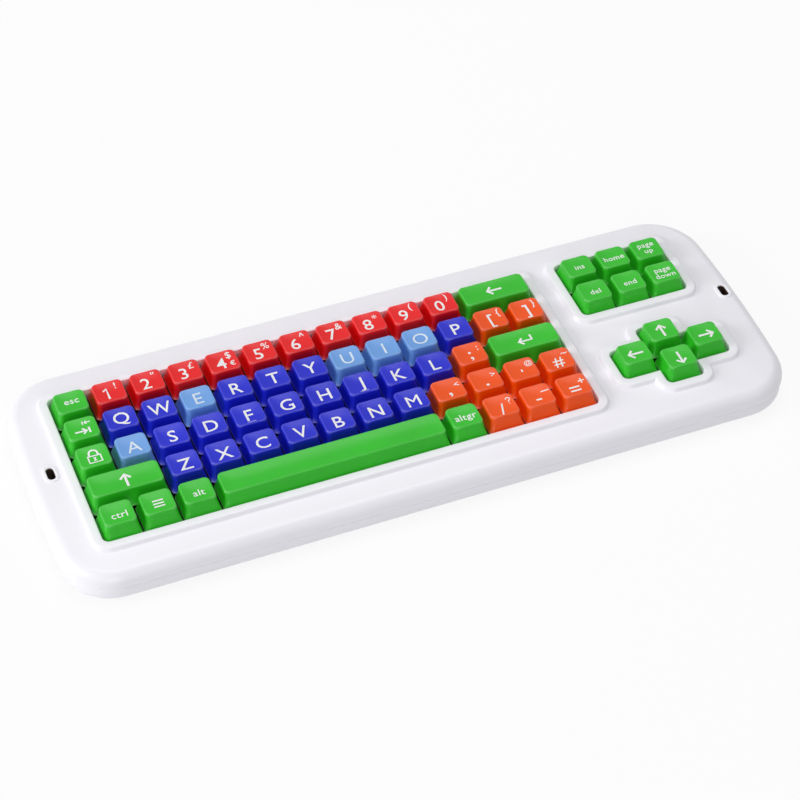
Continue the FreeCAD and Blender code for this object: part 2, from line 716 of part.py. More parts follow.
def make_battery_contacts():
    """End plates of the bay, with a pressed leaf at one end and a smaller bump at the other."""
    contacts = []
    middle = "cell_base + cell_diameter / 2"
    for name, side, base in (("spring", -1, "spring_base"), ("bump", 1, "bump_base")):
        plate = box(f"{name}_plate", ("bay_x", f"{side} * (bay_length - contact_thickness) / 2"),
                    ("contact_width", "contact_thickness"), f"{middle} - contact_width / 2",
                    "contact_width")
        tip = doc.addObject("Part::Wedge", f"{name}_tip")
        for axis, width in (("X", base), ("Z", base), ("X2", "contact_tip"), ("Z2", "contact_tip")):
            tip.setExpression(f"{axis}min", bound(f"-{width} / 2"))
            tip.setExpression(f"{axis}max", bound(f"{width} / 2"))
        tip.Ymin = 0
        tip.setExpression("Ymax", bound("contact_reach"))
        tip.Placement.Rotation = FreeCAD.Rotation(Vector(0, 0, 1), 180 if side > 0 else 0)
        place(tip, "bay_x", f"{side} * (bay_length / 2 - contact_thickness)", middle)
        contact = doc.addObject("Part::Fuse", f"contact_{name}")
        contact.Base = plate
        contact.Tool = tip
        contacts.append(contact)
    return group_of("battery_contacts", contacts)


def back_edges(feature, y):
    """The level edges of a feature's back face."""
    return edges_of(feature, lambda edge: all(abs(vertex.Y - y) < 1e-4 for vertex in edge.Vertexes)
                    and abs(edge.Vertexes[0].Z - edge.Vertexes[1].Z) < 1e-4)


def make_battery_door():
    """A flush panel that swings down about its softened back edge."""
    body = new_body("battery_door")
    size = ("bay_width + 2 * door_lap - 2 * door_gap", "bay_length + 4 * door_lap - 2 * door_gap")
    panel = block(body, "panel", ("bay_x", "0"), size, "foot_height", "door_thickness")
    soften(body, "Chamfer", "knuckle", panel, back_edges(panel, number(f"({size[1]}) / 2")), "Size",
           "door_knuckle")
    block(body, "grip", ("bay_x", "-bay_length / 2"), ("bay_width / 2", "2 * door_lap"), "0",
          "foot_height + door_thickness / 2", cut=True)
    return body


def make_power_slider():
    body = new_body("power_slider")
    at = ("switch_x", "switch_y")
    block(body, "thumb", at, ("thumb_length", "thumb_width"), "foot_height", "thumb_recess - slide_gap")
    block(body, "neck", at, ("neck_length", "neck_width"), "foot_height", "case_wall + slide_gap")
    block(body, "retainer", at, ("thumb_length", "thumb_width"), "floor_top + slide_gap",
          "retainer_thickness")
    return body


# Feet and tilt legs

def make_rubber_feet():
    foot = new_body("foot_pad")
    block(foot, "pad", ("0", "0"), ("foot_length", "foot_width"), "0", "foot_height + foot_seat",
          corner_cut="foot_corner")
    copies = [copy_of(foot, f"foot_{index}", x, y) for index, (x, y) in enumerate(FEET)]
    return group_of("rubber_feet", copies)


def make_tilt_leg(side, x):
    """A flap with a softened hinge end and two stub pins, folded into its pocket."""
    body = new_body(f"tilt_leg_{side}")
    flap = block(body, "flap", (x, LEG_Y), ("leg_width", "leg_length + leg_thickness / 2"),
                 "leg_axis_z - leg_thickness / 2", "leg_thickness")
    soften(body, "Chamfer", "hinge_end", flap, back_edges(flap, number("leg_axis_y + leg_thickness / 2")),
           "Size", "leg_knuckle")
    pin = sketch_on(body, "pin_circle", "YZ_Plane", "leg_axis_y", "leg_axis_z",
                    f"{x} - leg_width / 2 - leg_gap - leg_wall")
    circles(pin, "leg_pin", [("0", "0")])
    raise_from(body, "pins", pin, "leg_width + 2 * leg_gap + 2 * leg_wall")
    return body


nodes = [make_top_case(), make_bottom_case(), make_key_plate(),
         make_sheet("contact_mat", "board_top", "mat_thickness"),
         make_sheet("circuit_board", "board_base", "board_thickness"),
         make_radio_module(), make_battery_cell(), make_battery_contacts(), make_battery_door(),
         make_power_slider(), make_rubber_feet()]
nodes += [make_tilt_leg(side, x) for side, x in LEGS]
nodes += make_keys()
doc.recompute()

for thing in doc.Objects:
    if "Invalid" in thing.State or "Error" in thing.State:
        raise RuntimeError(f"{thing.Label} failed: {thing.State}")
for node in nodes:
    if node.Shape.isNull() or not node.Shape.isValid():
        raise RuntimeError(f"{node.Label} has no valid shape")

os.makedirs("parts", exist_ok=True)
for node in nodes:
    node.Shape.exportStep(f"parts/{node.Label}.step")
print(f"{len(nodes)} nodes written")
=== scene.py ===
# %% [markdown]
# # A large-key children's keyboard
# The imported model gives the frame: where every shell, key and leg sits, and how it moves. This lesson
# dresses that frame. The CAD solids stay underneath for collision, and each piece that needs softer
# edges, a dished top or a printed sign is modelled again here, in the same place. Sizes are written
# in millimetres and multiplied by MM where a vertex is made, because Blender's unit is the metre.

# %% Load the frame
import json
import math
import bmesh
import bpy
from mathutils import Matrix, Vector


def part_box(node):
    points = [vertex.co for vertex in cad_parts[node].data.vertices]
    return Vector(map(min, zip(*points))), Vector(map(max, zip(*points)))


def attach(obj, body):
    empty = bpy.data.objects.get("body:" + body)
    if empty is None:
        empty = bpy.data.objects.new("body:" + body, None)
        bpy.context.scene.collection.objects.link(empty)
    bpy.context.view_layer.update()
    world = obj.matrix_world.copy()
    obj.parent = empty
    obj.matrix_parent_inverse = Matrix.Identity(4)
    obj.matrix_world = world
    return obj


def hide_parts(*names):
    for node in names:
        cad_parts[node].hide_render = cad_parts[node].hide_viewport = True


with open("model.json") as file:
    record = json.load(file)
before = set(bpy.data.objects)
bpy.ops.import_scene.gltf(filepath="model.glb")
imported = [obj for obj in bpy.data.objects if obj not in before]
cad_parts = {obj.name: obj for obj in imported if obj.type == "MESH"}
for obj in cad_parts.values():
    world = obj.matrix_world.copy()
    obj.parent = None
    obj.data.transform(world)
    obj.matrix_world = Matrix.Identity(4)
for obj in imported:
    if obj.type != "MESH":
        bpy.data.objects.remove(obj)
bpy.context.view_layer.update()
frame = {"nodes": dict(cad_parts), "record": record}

MM = 0.001  # one millimetre in metres

# %% [markdown]
# ## Rings
# Moulded plastic is all offsets of one outline: the same rounded loop, a little further out and a
# little higher, again and again. A loop could be typed in as a list of points, but a few corner
# vertices and a vertex bevel give the same rounded loop with far less to get wrong. Two loops with
# the same number of vertices are then joined with bridge_loops, which is how a wall, a rim or the
# soft edge of a key is made below.


# %% Rings and bridges
def ring(bm, corners, z, radius, tight=0.4, steps=6, cuts=0):
    """A closed loop of edges in millimetres; outer corners get radius, inner ones get tight.
    The straight runs are divided by cuts where the surface bends along them."""
    before = set(bm.edges)
    points = [Vector(corner) for corner in corners]
    verts = [bm.verts.new((p.x * MM, p.y * MM, z * MM)) for p in points]
    bm.faces.new(verts)
    turns = []
    for here, last, after in zip(points, points[-1:] + points[:-1], points[1:] + points[:1]):
        turns.append((here - last).cross(after - here) > 0)
    for outward, size in ((True, radius), (False, tight)):
        chosen = [v for v, turn in zip(verts, turns) if turn == outward and v.is_valid]
        if chosen:
            bmesh.ops.bevel(bm, geom=chosen, offset=size * MM, offset_type="OFFSET", affect="VERTICES",
                            segments=steps, profile=0.5, material=-1, clamp_overlap=False)
    edges = [e for e in bm.edges if e not in before]
    bmesh.ops.delete(bm, geom=list({f for e in edges for f in e.link_faces}), context="FACES_ONLY")
    if cuts:
        runs = sorted(edges, key=lambda e: e.calc_length())[-len(corners):]
        bmesh.ops.subdivide_edges(bm, edges=runs, cuts=cuts)
        edges = [e for e in bm.edges if e not in before]
    return edges


def bridge(bm, rings):
    """Join each ring to the next; lifting one for the moment tells level rings which way is up."""
    lift = Vector((0, 0, 1))
    for first, second in zip(rings, rings[1:]):
        lifted = list({v for e in second for v in e.verts})
        bmesh.ops.translate(bm, verts=lifted, vec=lift)
        bmesh.ops.bridge_loops(bm, edges=first + second)
        bmesh.ops.translate(bm, verts=lifted, vec=-lift)


def rectangle(x0, y0, x1, y1, grow=0.0):
    x0, y0, x1, y1 = x0 - grow, y0 - grow, x1 + grow, y1 + grow
    return [(x0, y0), (x1, y0), (x1, y1), (x0, y1)]


def close_ends(bm, loops):
    """Close a stack of rings with a face at each end."""
    for end in (loops[0], loops[-1]):
        bmesh.ops.contextual_create(bm, geom=end)


def finished(name, bm, body, material, crease=32):
    """Weld the mesh, shade it smooth up to the crease angle, and let it ride on its body."""
    bmesh.ops.remove_doubles(bm, verts=bm.verts, dist=1e-6)
    bmesh.ops.recalc_face_normals(bm, faces=bm.faces)
    mesh = bpy.data.meshes.new(name)
    bm.to_mesh(mesh)
    bm.free()
    mesh.shade_smooth()
    mesh.set_sharp_from_angle(angle=math.radians(crease))
    mesh.materials.append(material)
    piece = bpy.data.objects.new(name, mesh)
    bpy.context.scene.collection.objects.link(piece)
    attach(piece, body)
    return piece


print("ring helpers ready")

# %% [markdown]
# ## Moulded plastic
# The case and the caps are injection-moulded. A real moulding is never one flat colour: the pigment
# drifts a little, the polish of the tool leaves finer and coarser patches, and corners are rubbed
# by hands. The paler edges stand for that rubbing and also for a painted highlight along the edges.
# All of that could be painted on an image; noise read from Object coordinates gives it without one,
# at a scale set in metres. The shine itself is a constant, so it sits on the socket.


# %% A material for mouldings
EDGE_STOPS = (0.52, 0.60)  # pointiness at which the paler edge (rubbing and painted highlight) starts, and at which it is full
GRAIN_HEIGHT, COAT_ROUGHNESS = 0.00004, 0.12


def moulded(name, colour, rough=(0.22, 0.34), drift=0.06, grain=2400.0, grain_depth=0.012, coat=0.0,
            wear_and_highlight=0.12, blotch=18.0, shine=0.5):
    """Pigment drift, polish patches, a fine tool grain and paler edges, for rubbing and as a painted
    highlight, around one colour.
    """
    material = bpy.data.materials.new(name)
    material.use_nodes = True
    nodes, links = material.node_tree.nodes, material.node_tree.links
    shader = nodes["Principled BSDF"]
    place = nodes.new("ShaderNodeTexCoord").outputs["Object"]

    def noise(scale, detail):
        node = nodes.new("ShaderNodeTexNoise")
        node.inputs["Scale"].default_value = scale
        node.inputs["Detail"].default_value = detail
        links.new(place, node.inputs["Vector"])
        return node.outputs["Fac"]

    def ramp(factor, low, high, stops=(0.3, 0.7)):
        node = nodes.new("ShaderNodeValToRGB")
        for element, stop, tone in zip(node.color_ramp.elements, stops, (low, high)):
            element.position = stop
            element.color = (*tone, 1.0)
        links.new(factor, node.inputs["Fac"])
        return node.outputs["Color"]

    deep = tuple(c * (1 - drift) for c in colour)
    pale = tuple(min(1.0, c * (1 + drift)) for c in colour)
    tone = ramp(noise(blotch, 4.0), deep, pale)
    # Paler convex edges: rubbing on most mouldings, and mostly a painted highlight on the caps.
    edge = nodes.new("ShaderNodeNewGeometry").outputs["Pointiness"]
    rubbed_and_highlit = ramp(edge, (0, 0, 0), (wear_and_highlight, wear_and_highlight, wear_and_highlight), EDGE_STOPS)
    mix = nodes.new("ShaderNodeMix")
    mix.data_type = "RGBA"
    mix.inputs["B"].default_value = (*(c + (1 - c) * 0.5 for c in colour), 1.0)
    links.new(rubbed_and_highlit, mix.inputs["Factor"])
    links.new(tone, mix.inputs["A"])
    links.new(mix.outputs["Result"], shader.inputs["Base Color"])
    polish = nodes.new("ShaderNodeMapRange")
    polish.inputs["To Min"].default_value, polish.inputs["To Max"].default_value = rough
    links.new(noise(blotch * 7, 6.0), polish.inputs["Value"])
    links.new(polish.outputs["Result"], shader.inputs["Roughness"])
    bump = nodes.new("ShaderNodeBump")
    bump.inputs["Strength"].default_value = grain_depth * 10
    bump.inputs["Distance"].default_value = GRAIN_HEIGHT
    links.new(noise(grain, 3.0), bump.inputs["Height"])
    links.new(bump.outputs["Normal"], shader.inputs["Normal"])
    shader.inputs["Specular IOR Level"].default_value = shine
    shader.inputs["Coat Weight"].default_value = coat
    shader.inputs["Coat Roughness"].default_value = COAT_ROUGHNESS
    return material


print("moulded plastic ready")

# %% [markdown]
# ## White case and coloured keys
# On the real keyboard the colour tells a child what a key is for: vowels, other letters, numerals,
# punctuation and working keys each have their own. Five materials could be set up by hand, but they
# differ only in pigment, so a dictionary of colours goes through one function. The caps are a little
# glossier than the case, and their edges are paler: a painted highlight along the crown edges.

# %% Colours
CASE_WHITE = moulded("case white", (0.875, 0.862, 0.915), rough=(0.3, 0.35), drift=0.01, wear_and_highlight=0.0,
                     blotch=9)
KEY_COLOURS = {
    "key_green": (0.03, 0.51, 0.02),
    "key_red": (0.80, 0.008, 0.01),
    "key_orange": (0.88, 0.085, 0.002),
    "key_dark_blue": (0.012, 0.020, 0.60),
    "key_light_blue": (0.16, 0.36, 0.76),
}
# On the caps the paler edges are mostly a painted highlight along the crown edges and corner ridges.
KEY_PLASTIC = {slot: moulded(slot.replace("_", " "), colour, rough=(0.19, 0.29), wear_and_highlight=0.48, shine=0.28)
               for slot, colour in KEY_COLOURS.items()}
print("mouldings:", ["case white", *KEY_PLASTIC])

# %% [markdown]
# ## The upper shell
# The upper shell is one white moulding: a tray with a wide soft edge, three key wells with a raised
# rim round each, and two small slots in raised rings for a keyguard. It could be cut out of a block
# with booleans, but those leave ragged triangles along every rounded edge. Here each opening is a
# stack of rings from the underside, up the well and down over the rim, and the flat between the
# openings is filled last, so every soft edge is a clean band of quads.

# %% Outline of the case
CASE_X, CASE_Y = 243.0, 89.0
FRONT_CORNER, BACK_CORNER = 33.0, 37.0
SIDE_X = {"front": 241.29, "back": 241.52}
SIDE_RADIUS = 950.0


def case_ring(bm, inset, z):
    """The case outline, moved inwards: straight front and back, gently bowed sides."""
    before = set(bm.edges)
    front, back = SIDE_X["front"] - inset, SIDE_X["back"] - inset
    deep = CASE_Y - inset
    corners = [(-front, -deep), (front, -deep), (back, deep), (-back, deep)]
    verts = [bm.verts.new((x * MM, y * MM, z * MM)) for x, y in corners]
    bm.faces.new(verts)
    for pair, radius in ((verts[:2], FRONT_CORNER), (verts[2:], BACK_CORNER)):
        bmesh.ops.bevel(bm, geom=pair, offset=(radius - inset) * MM, offset_type="OFFSET",
                        affect="VERTICES", segments=14, profile=0.5, material=-1, clamp_overlap=False)
    edges = [e for e in bm.edges if e not in before]
    bmesh.ops.delete(bm, geom=list({f for e in edges for f in e.link_faces}), context="FACES_ONLY")
    sides = [e for e in edges if abs(e.verts[0].co.y - e.verts[1].co.y) > 0.05]
    cut = bmesh.ops.subdivide_edges(bm, edges=sides, cuts=11)
    for vert in (g for g in cut["geom_inner"] if isinstance(g, bmesh.types.BMVert)):
        bow = SIDE_RADIUS - math.sqrt(SIDE_RADIUS ** 2 - (vert.co.y / MM) ** 2)
        vert.co.x = math.copysign((CASE_X - inset - bow) * MM, vert.co.x)
    return [e for e in bm.edges if e not in before]


def quarter(start, end, steps=7):
    """Points on a quarter round in (inset, height), leaving start upright and reaching end level."""
    (a, z), (b, top) = start, end
    turn = [math.pi / 2 * i / steps for i in range(steps + 1)]
    return [(a + (b - a) * (1 - math.cos(t)), z + (top - z) * math.sin(t)) for t in turn]


print("case outline:", 2 * CASE_X, "x", 2 * CASE_Y, "mm")

# %% Openings of the upper shell
CASE_TOP, RIM_TOP, PARTING, CEILING, PLATE_TOP, FOOT_HEIGHT = 22.0, 24.5, 12.0, 19.5, 15.0, 1.5
WELL_CORNER = 4.0
MAIN_WELL = (-213.5, -61.0, 112.5, 64.25)
PAGING_WELL = (135.5, 14.0, 211.5, 64.25)
ARROW_X, ARROW_ROW, ARROW_COLUMN = (135.5, 211.5), (-48.375, -22.375), (-61.25, -9.5)
ARROW_STEM = (160.5, 186.5)
SLOT_PLACES = {"left": (-227.6, 5.25), "right": (233.0, 5.25)}
SLOT_HALF = (2.5, 5.0)


def arrow_cross(grow):
    (x0, x3), (y1, y2), (y0, y3), (x1, x2) = ARROW_X, ARROW_ROW, ARROW_COLUMN, ARROW_STEM
    g = grow
    return [(x1 - g, y0 - g), (x2 + g, y0 - g), (x2 + g, y1 - g), (x3 + g, y1 - g), (x3 + g, y2 + g),
            (x2 + g, y2 + g), (x2 + g, y3 + g), (x1 - g, y3 + g), (x1 - g, y2 + g), (x0 - g, y2 + g),
            (x0 - g, y1 - g), (x1 - g, y1 - g)]


def slot_box(place, grow=0.0):
    (x, y), (w, d) = place, SLOT_HALF
    return rectangle(x - w, y - d, x + w, y + d, grow)


# A profile lists rings as (distance out from the opening, height).
RIM = [(2.0, CEILING), (2.0, PLATE_TOP), (0.0, PLATE_TOP), *quarter((0.0, 23.6), (0.9, RIM_TOP), 4),
       (5.0, RIM_TOP), (5.4, 24.44), (5.75, 24.25), (6.05, 23.9), (6.75, 22.6), (7.05, 22.25),
       (7.4, 22.06), (7.8, CASE_TOP)]
SLOT_TUBE = [(1.5, FOOT_HEIGHT), (0.0, FOOT_HEIGHT), *quarter((0.0, 22.3), (0.5, 22.8), 3), (1.2, 22.8),
             (1.7, 22.7), (2.1, 22.45), (2.4, 22.0), (2.4, 20.0), (1.5, 20.0)]
print("rim rises", RIM_TOP - CASE_TOP, "mm over", RIM[-1][0], "mm")


# %% [markdown]
# ## Closing the shell
# A moulded shell has an outer and an inner skin with a wall of plastic between them. Both skins are
# flat areas with holes in them, where a single many-sided face would fold over the holes. So the
# rings leave one loop on each skin, and triangle_fill closes what lies between the loops.


# %% Build the upper shell
def shell(name, wall, openings, pockets, replaced):
    """A moulded half: its wall, the openings through it, pockets in one skin, then the two skins."""
    bm = bmesh.new()
    inner, outer = [], []
    for make, profile in [wall, *openings]:
        rings = [make(bm, grow, z) for grow, z in profile]
        bridge(bm, rings)
        inner += rings[0]
        outer += rings[-1]
    for make, profile, skin in pockets:
        rings = [make(bm, grow, z) for grow, z in profile]
        bridge(bm, rings)
        bmesh.ops.contextual_create(bm, geom=rings[-1])
        (inner if skin == "inner" else outer).extend(rings[0])
    for skin in (inner, outer):
        bmesh.ops.triangle_fill(bm, edges=skin, use_beauty=True)
    piece = finished(name, bm, "case", CASE_WHITE)
    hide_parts(replaced)
    print(name, "has", len(piece.data.polygons), "faces")
    return piece


# The outer wall's profile lists (distance in from the outline, height).
UPPER_WALL = [(6.0, CEILING), (3.0, 16.5), (2.6, PARTING), (1.1, PARTING), (0.25, PARTING + 0.45),
              (0.0, PARTING + 0.8), *quarter((0.0, 14.0), (8.0, CASE_TOP), 10)]
upper_openings = [
    (lambda bm, g, z: ring(bm, rectangle(*MAIN_WELL, g), z, WELL_CORNER + g, steps=8), RIM),
    (lambda bm, g, z: ring(bm, rectangle(*PAGING_WELL, g), z, WELL_CORNER + g, steps=8), RIM),
    (lambda bm, g, z: ring(bm, arrow_cross(g), z, WELL_CORNER + g, steps=8), RIM),
]
upper_shell = shell("upper_shell", (case_ring, UPPER_WALL), upper_openings, [], "top_case")

# %% [markdown]
# ## The keyguard slots
# Each slot is a short tube that runs through the case, with a raised lip on top. The right one sits
# where the case already rounds over, so its lip can't be a band of the flat skin. It is a closed
# stack of rings of its own, and a boolean cuts the skin open inside the tube's wall, where the ragged
# edge of the cut never shows.


# %% Cut the slots and line them with painted shade
# The liner is a dark sheet inside each white tube: painted shade for the deep, narrow slot.
SLOT_SHADE_SHEET = [(0.05, 2.2), (-0.25, 2.2), (-0.25, 21.6), (0.05, 21.8)]
SLOT_CORNER, CUT_MARGIN, CUT_OVERSHOOT = 2.3, 1.0, 4.0
SLOT_PAINTED_SHADE = moulded("slot painted shade", (0.045, 0.022, 0.012), rough=(0.4, 0.6), wear_and_highlight=0.0)


def slot_ring(bm, place, grow, z):
    return ring(bm, slot_box(place, grow), z, SLOT_CORNER + grow, steps=6)


for side, place in SLOT_PLACES.items():
    bm = bmesh.new()
    tube = [slot_ring(bm, place, grow, z) for grow, z in SLOT_TUBE]
    bridge(bm, tube + tube[:1])
    finished(f"slot_tube_{side}", bm, "case", CASE_WHITE)
    # A dark sheet just inside the tube's wall, as painted shade in the slot.
    bm = bmesh.new()
    shade_sheet = [slot_ring(bm, place, grow, z) for grow, z in SLOT_SHADE_SHEET]
    bridge(bm, shade_sheet + shade_sheet[:1])
    finished(f"slot_shade_sheet_{side}", bm, "case", SLOT_PAINTED_SHADE)
    bm = bmesh.new()
    ends = [slot_ring(bm, place, CUT_MARGIN, z) for z in (PLATE_TOP, CASE_TOP + CUT_OVERSHOOT)]
    bridge(bm, ends)
    close_ends(bm, ends)
    bmesh.ops.recalc_face_normals(bm, faces=bm.faces)
    cutter_mesh = bpy.data.meshes.new("cutter")
    bm.to_mesh(cutter_mesh)
    bm.free()
    cutter = bpy.data.objects.new("cutter", cutter_mesh)
    bpy.context.scene.collection.objects.link(cutter)
    cut = upper_shell.modifiers.new("slot", "BOOLEAN")
    cut.operation, cut.solver, cut.object = "DIFFERENCE", "EXACT", cutter
    cut_mesh = bpy.data.meshes.new_from_object(
        upper_shell.evaluated_get(bpy.context.evaluated_depsgraph_get()))
    upper_shell.modifiers.clear()
    upper_shell.data = cut_mesh
    bpy.data.objects.remove(cutter)
print("upper shell after the cuts:", len(upper_shell.data.polygons), "faces")

# %% [markdown]
# ## The lower shell
# The lower half closes the case from below. Its face is hidden in the photograph apart from a strip
# under the parting line, but the part is handled from all sides, so the underside has its real
# pockets: seats for the rubber feet, beds for the folding legs, the battery bay, the recess of the
# power slider and the counterbores of the case screws. Rings make these too: a pocket is a stack of
# rings that ends in a floor of its own.

# %% Openings of the lower shell
FLOOR_TOP = 4.0
FEET = [(x, y) for x in (-212.0, 212.0) for y in (-74.0, 74.0)]
SCREWS = [(x, y) for x in (-185.0, 0.0, 185.0) for y in (-75.0, 75.0)]
BAY_X, BAY_HALF, SEAT_HALF, BAY_CORNER = 124.0, (7.5, 29.75), (9.9, 34.55), 0.6
BAY_ROOF, SEAT_ROOF, DOOR_SEAT = 15.0, 3.1, "door seat"
LEG_X, LEG_BED = (-150.0, 150.0), (14.3, 65.4, 82.0, 7.1)
BED_WALL, BED_LIP = 1.8, [(0.25, FOOT_HEIGHT), (0, FOOT_HEIGHT + 0.25)]
THUMB_AT, THUMB_BED, THUMB_ROOF = (170.0, 24.0), (6.1, 3.1), 2.5
FOOT_BED, FOOT_SEAT = (11.1, 5.1), 2.3
BORE, BORE_CORNER, BORE_WALL = (3.6, 3.6), 3.55, 1.4
PARTING_STEP, LOWER_EDGE = 0.4, 4.0


def box_ring(x, y, half, radius, steps=4):
    w, d = half
    return lambda bm, g, z: ring(bm, rectangle(x - w, y - d, x + w, y + d, g), z, radius + g, steps=steps)


def bay_ring(bm, grow, z):
    """The battery bay, moved out by grow, or the wider seat of its door."""
    half, extra = (SEAT_HALF, 0.0) if grow == DOOR_SEAT else (BAY_HALF, grow)
    return box_ring(BAY_X, 0.0, half, BAY_CORNER)(bm, extra, z)


print("underside:", len(FEET), "feet,", len(SCREWS), "screws and", len(LEG_X), "legs")

# %% Build the lower shell
LOWER_WALL = [(4.9, FLOOR_TOP), (3.0, 7.0), (2.9, PARTING), (1.3, PARTING), (0.6, PARTING - 0.4),
              (PARTING_STEP, PARTING - 0.75), *quarter((PARTING_STEP, FOOT_HEIGHT + LOWER_EDGE),
                                                       (PARTING_STEP + LOWER_EDGE, FOOT_HEIGHT), 8)]
lower_openings = [(bay_ring, [(1.5, FLOOR_TOP), (1.5, BAY_ROOF), (0.0, BAY_ROOF), (0.0, SEAT_ROOF),
                              (DOOR_SEAT, SEAT_ROOF), (DOOR_SEAT, FOOT_HEIGHT)])]
SLOT_CLEAR = 1.8
for place in SLOT_PLACES.values():
    lower_openings.append((lambda bm, g, z, at=place: slot_ring(bm, at, SLOT_CLEAR, z),
                           [(0, FLOOR_TOP), (0, FOOT_HEIGHT)]))
lower_pockets = []
for x, y in FEET:
    lower_pockets.append((box_ring(x, y, FOOT_BED, 3.0, 6), [(0, FOOT_HEIGHT), (0, FOOT_SEAT)], "outer"))
for x, y in SCREWS:
    bore = box_ring(x, y, BORE, BORE_CORNER, 6)
    lower_pockets.append((bore, [(0.3, FOOT_HEIGHT), (0, 1.8), (0, 9.0), (-2.0, 9.0), (-2.0, 11.0)],
                          "outer"))
    lower_pockets.append((bore, [(BORE_WALL, FLOOR_TOP), (BORE_WALL, PARTING)], "inner"))
for x in LEG_X:
    half, y0, y1, roof = LEG_BED
    bed = box_ring(x, (y0 + y1) / 2, (half, (y1 - y0) / 2), 0.4, 2)
    lower_pockets.append((bed, [*BED_LIP, (0, roof)], "outer"))
    lower_pockets.append((bed, [(BED_WALL, FLOOR_TOP), (BED_WALL, roof + BED_WALL)], "inner"))
thumb_bed = box_ring(*THUMB_AT, THUMB_BED, 0.8, 4)
lower_pockets.append((thumb_bed, [*BED_LIP, (0, THUMB_ROOF)], "outer"))
shell("lower_shell", (case_ring, LOWER_WALL), lower_openings, lower_pockets, "bottom_case")

# %% [markdown]
# ## Case screws
# Six cross-head screws hold the halves together from below. They are small enough to leave out, but
# they are among the first things seen when the keyboard is turned over. A spun profile would do for
# the shank, but the recess in the head isn't round, so rings serve for both: a stack of round ones
# with a cross-shaped stack let into the last.

# %% Turn the screws in
SCREW_SEAT, SCREW_FACE, SCREW_END = 9.0, 6.9, 10.8
SHANK, HEAD, FACE, CROSS, RECESS = 1.4, 2.9, 2.1, (1.6, 0.42), 1.3
STEEL = moulded("bright steel", (0.72, 0.71, 0.69), rough=(0.18, 0.35), drift=0.05, blotch=90)
STEEL.node_tree.nodes["Principled BSDF"].inputs["Metallic"].default_value = 1.0


def disc(bm, x, y, radius, z):
    """A round loop: a square whose corners are bevelled until they all but meet."""
    return ring(bm, rectangle(x, y, x, y, radius), z, radius * 0.998)


def cross(x, y):
    a, w = CROSS
    outline = ((-w, -a), (w, -a), (w, -w), (a, -w), (a, w), (w, w),
               (w, a), (-w, a), (-w, w), (-a, w), (-a, -w), (-w, -w))
    return [(x + u, y + v) for u, v in outline]


bm = bmesh.new()
for x, y in SCREWS:
    turned = [(SHANK, SCREW_END), (SHANK, SCREW_SEAT), (HEAD, SCREW_SEAT), (HEAD, SCREW_FACE + 0.8),
              (HEAD - 0.2, SCREW_FACE + 0.35), (FACE, SCREW_FACE)]
    loops = [disc(bm, x, y, radius, z) for radius, z in turned]
    bridge(bm, loops)
    bmesh.ops.contextual_create(bm, geom=loops[0])
    slots = [ring(bm, cross(x, y), z, 0.1, tight=0.1, steps=1) for z in (SCREW_FACE, SCREW_FACE + RECESS)]
    bridge(bm, slots)
    bmesh.ops.contextual_create(bm, geom=slots[1])
    bmesh.ops.triangle_fill(bm, edges=loops[-1] + slots[0], use_beauty=True)
screws = finished("case_screws", bm, "case", STEEL)
print("screws:", len(SCREWS), "with", len(screws.data.polygons), "faces")

# %% [markdown]
# ## Rubber feet
# Four rubber pads keep the keyboard from sliding, each pressed into a shallow seat. A bevelled block
# would look right from the side, but a real pad grips with the edge of a groove in its face. As the
# pad is a stack of rings anyway, the groove is four more of them.

# %% Press the feet into their seats
RUBBER = moulded("foot rubber", (0.05, 0.05, 0.052), rough=(0.75, 0.9), grain=900, grain_depth=0.08)
PAD_HALF, PAD_CORNER = (11.0, 5.0), 3.0
PAD = [(0.0, FOOT_SEAT), (0.0, 0.7), (-0.1, 0.35), (-0.35, 0.1), (-0.7, 0.0),
       (-1.5, 0.0), (-1.7, 0.3), (-2.3, 0.3), (-2.5, 0.0)]
bm = bmesh.new()
for x, y in FEET:
    pad_ring = box_ring(x, y, PAD_HALF, PAD_CORNER, 6)
    loops = [pad_ring(bm, grow, z) for grow, z in PAD]
    bridge(bm, loops)
    close_ends(bm, loops)
feet = finished("foot_pads", bm, "case", RUBBER)
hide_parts("rubber_feet")

# %% [markdown]
# ## Battery door
# The door is a thin panel over the battery bay, with a notch for a finger and four grooves for grip.
# It moves, so it rides on its own body and lies a little inside its seat. The notch and the grooves
# could be cut with booleans, but they are pockets like those of the lower shell, so rings and one
# triangle_fill make the whole face.

# %% Battery door
DOOR_HALF, DOOR_TOP, NOTCH_Y = (9.65, 34.3), 2.8, -29.75
NOTCH_HALF, NOTCH_DEEP = (3.75, 2.4), 0.65
GROOVES, GROOVE_HALF, GROOVE_DEEP = [-24.6, -22.8, -21.0, -19.2], (5.5, 0.4), 0.35
DOOR_PROFILE = [(0.0, DOOR_TOP), (0.0, 1.9), (0.1, 1.65), (0.4, FOOT_HEIGHT)]
bm = bmesh.new()
door_ring = box_ring(BAY_X, 0.0, DOOR_HALF, 0.8)
panel = [door_ring(bm, -inset, z) for inset, z in DOOR_PROFILE]
bridge(bm, panel)
bmesh.ops.contextual_create(bm, geom=panel[0])
skin = list(panel[-1])
pockets = [(box_ring(BAY_X, NOTCH_Y, NOTCH_HALF, 1.6), NOTCH_DEEP)]
pockets += [(box_ring(BAY_X, y, GROOVE_HALF, 0.39, 3), GROOVE_DEEP) for y in GROOVES]
for pocket, deep in pockets:
    loops = [pocket(bm, grow, FOOT_HEIGHT + z) for grow, z in ((0.15, 0.0), (0.0, 0.15), (-0.1, deep))]
    bridge(bm, loops)
    bmesh.ops.contextual_create(bm, geom=loops[-1])
    skin += loops[0]
bmesh.ops.triangle_fill(bm, edges=skin, use_beauty=True)
door = finished("door_panel", bm, "battery_door", CASE_WHITE)
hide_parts("battery_door")
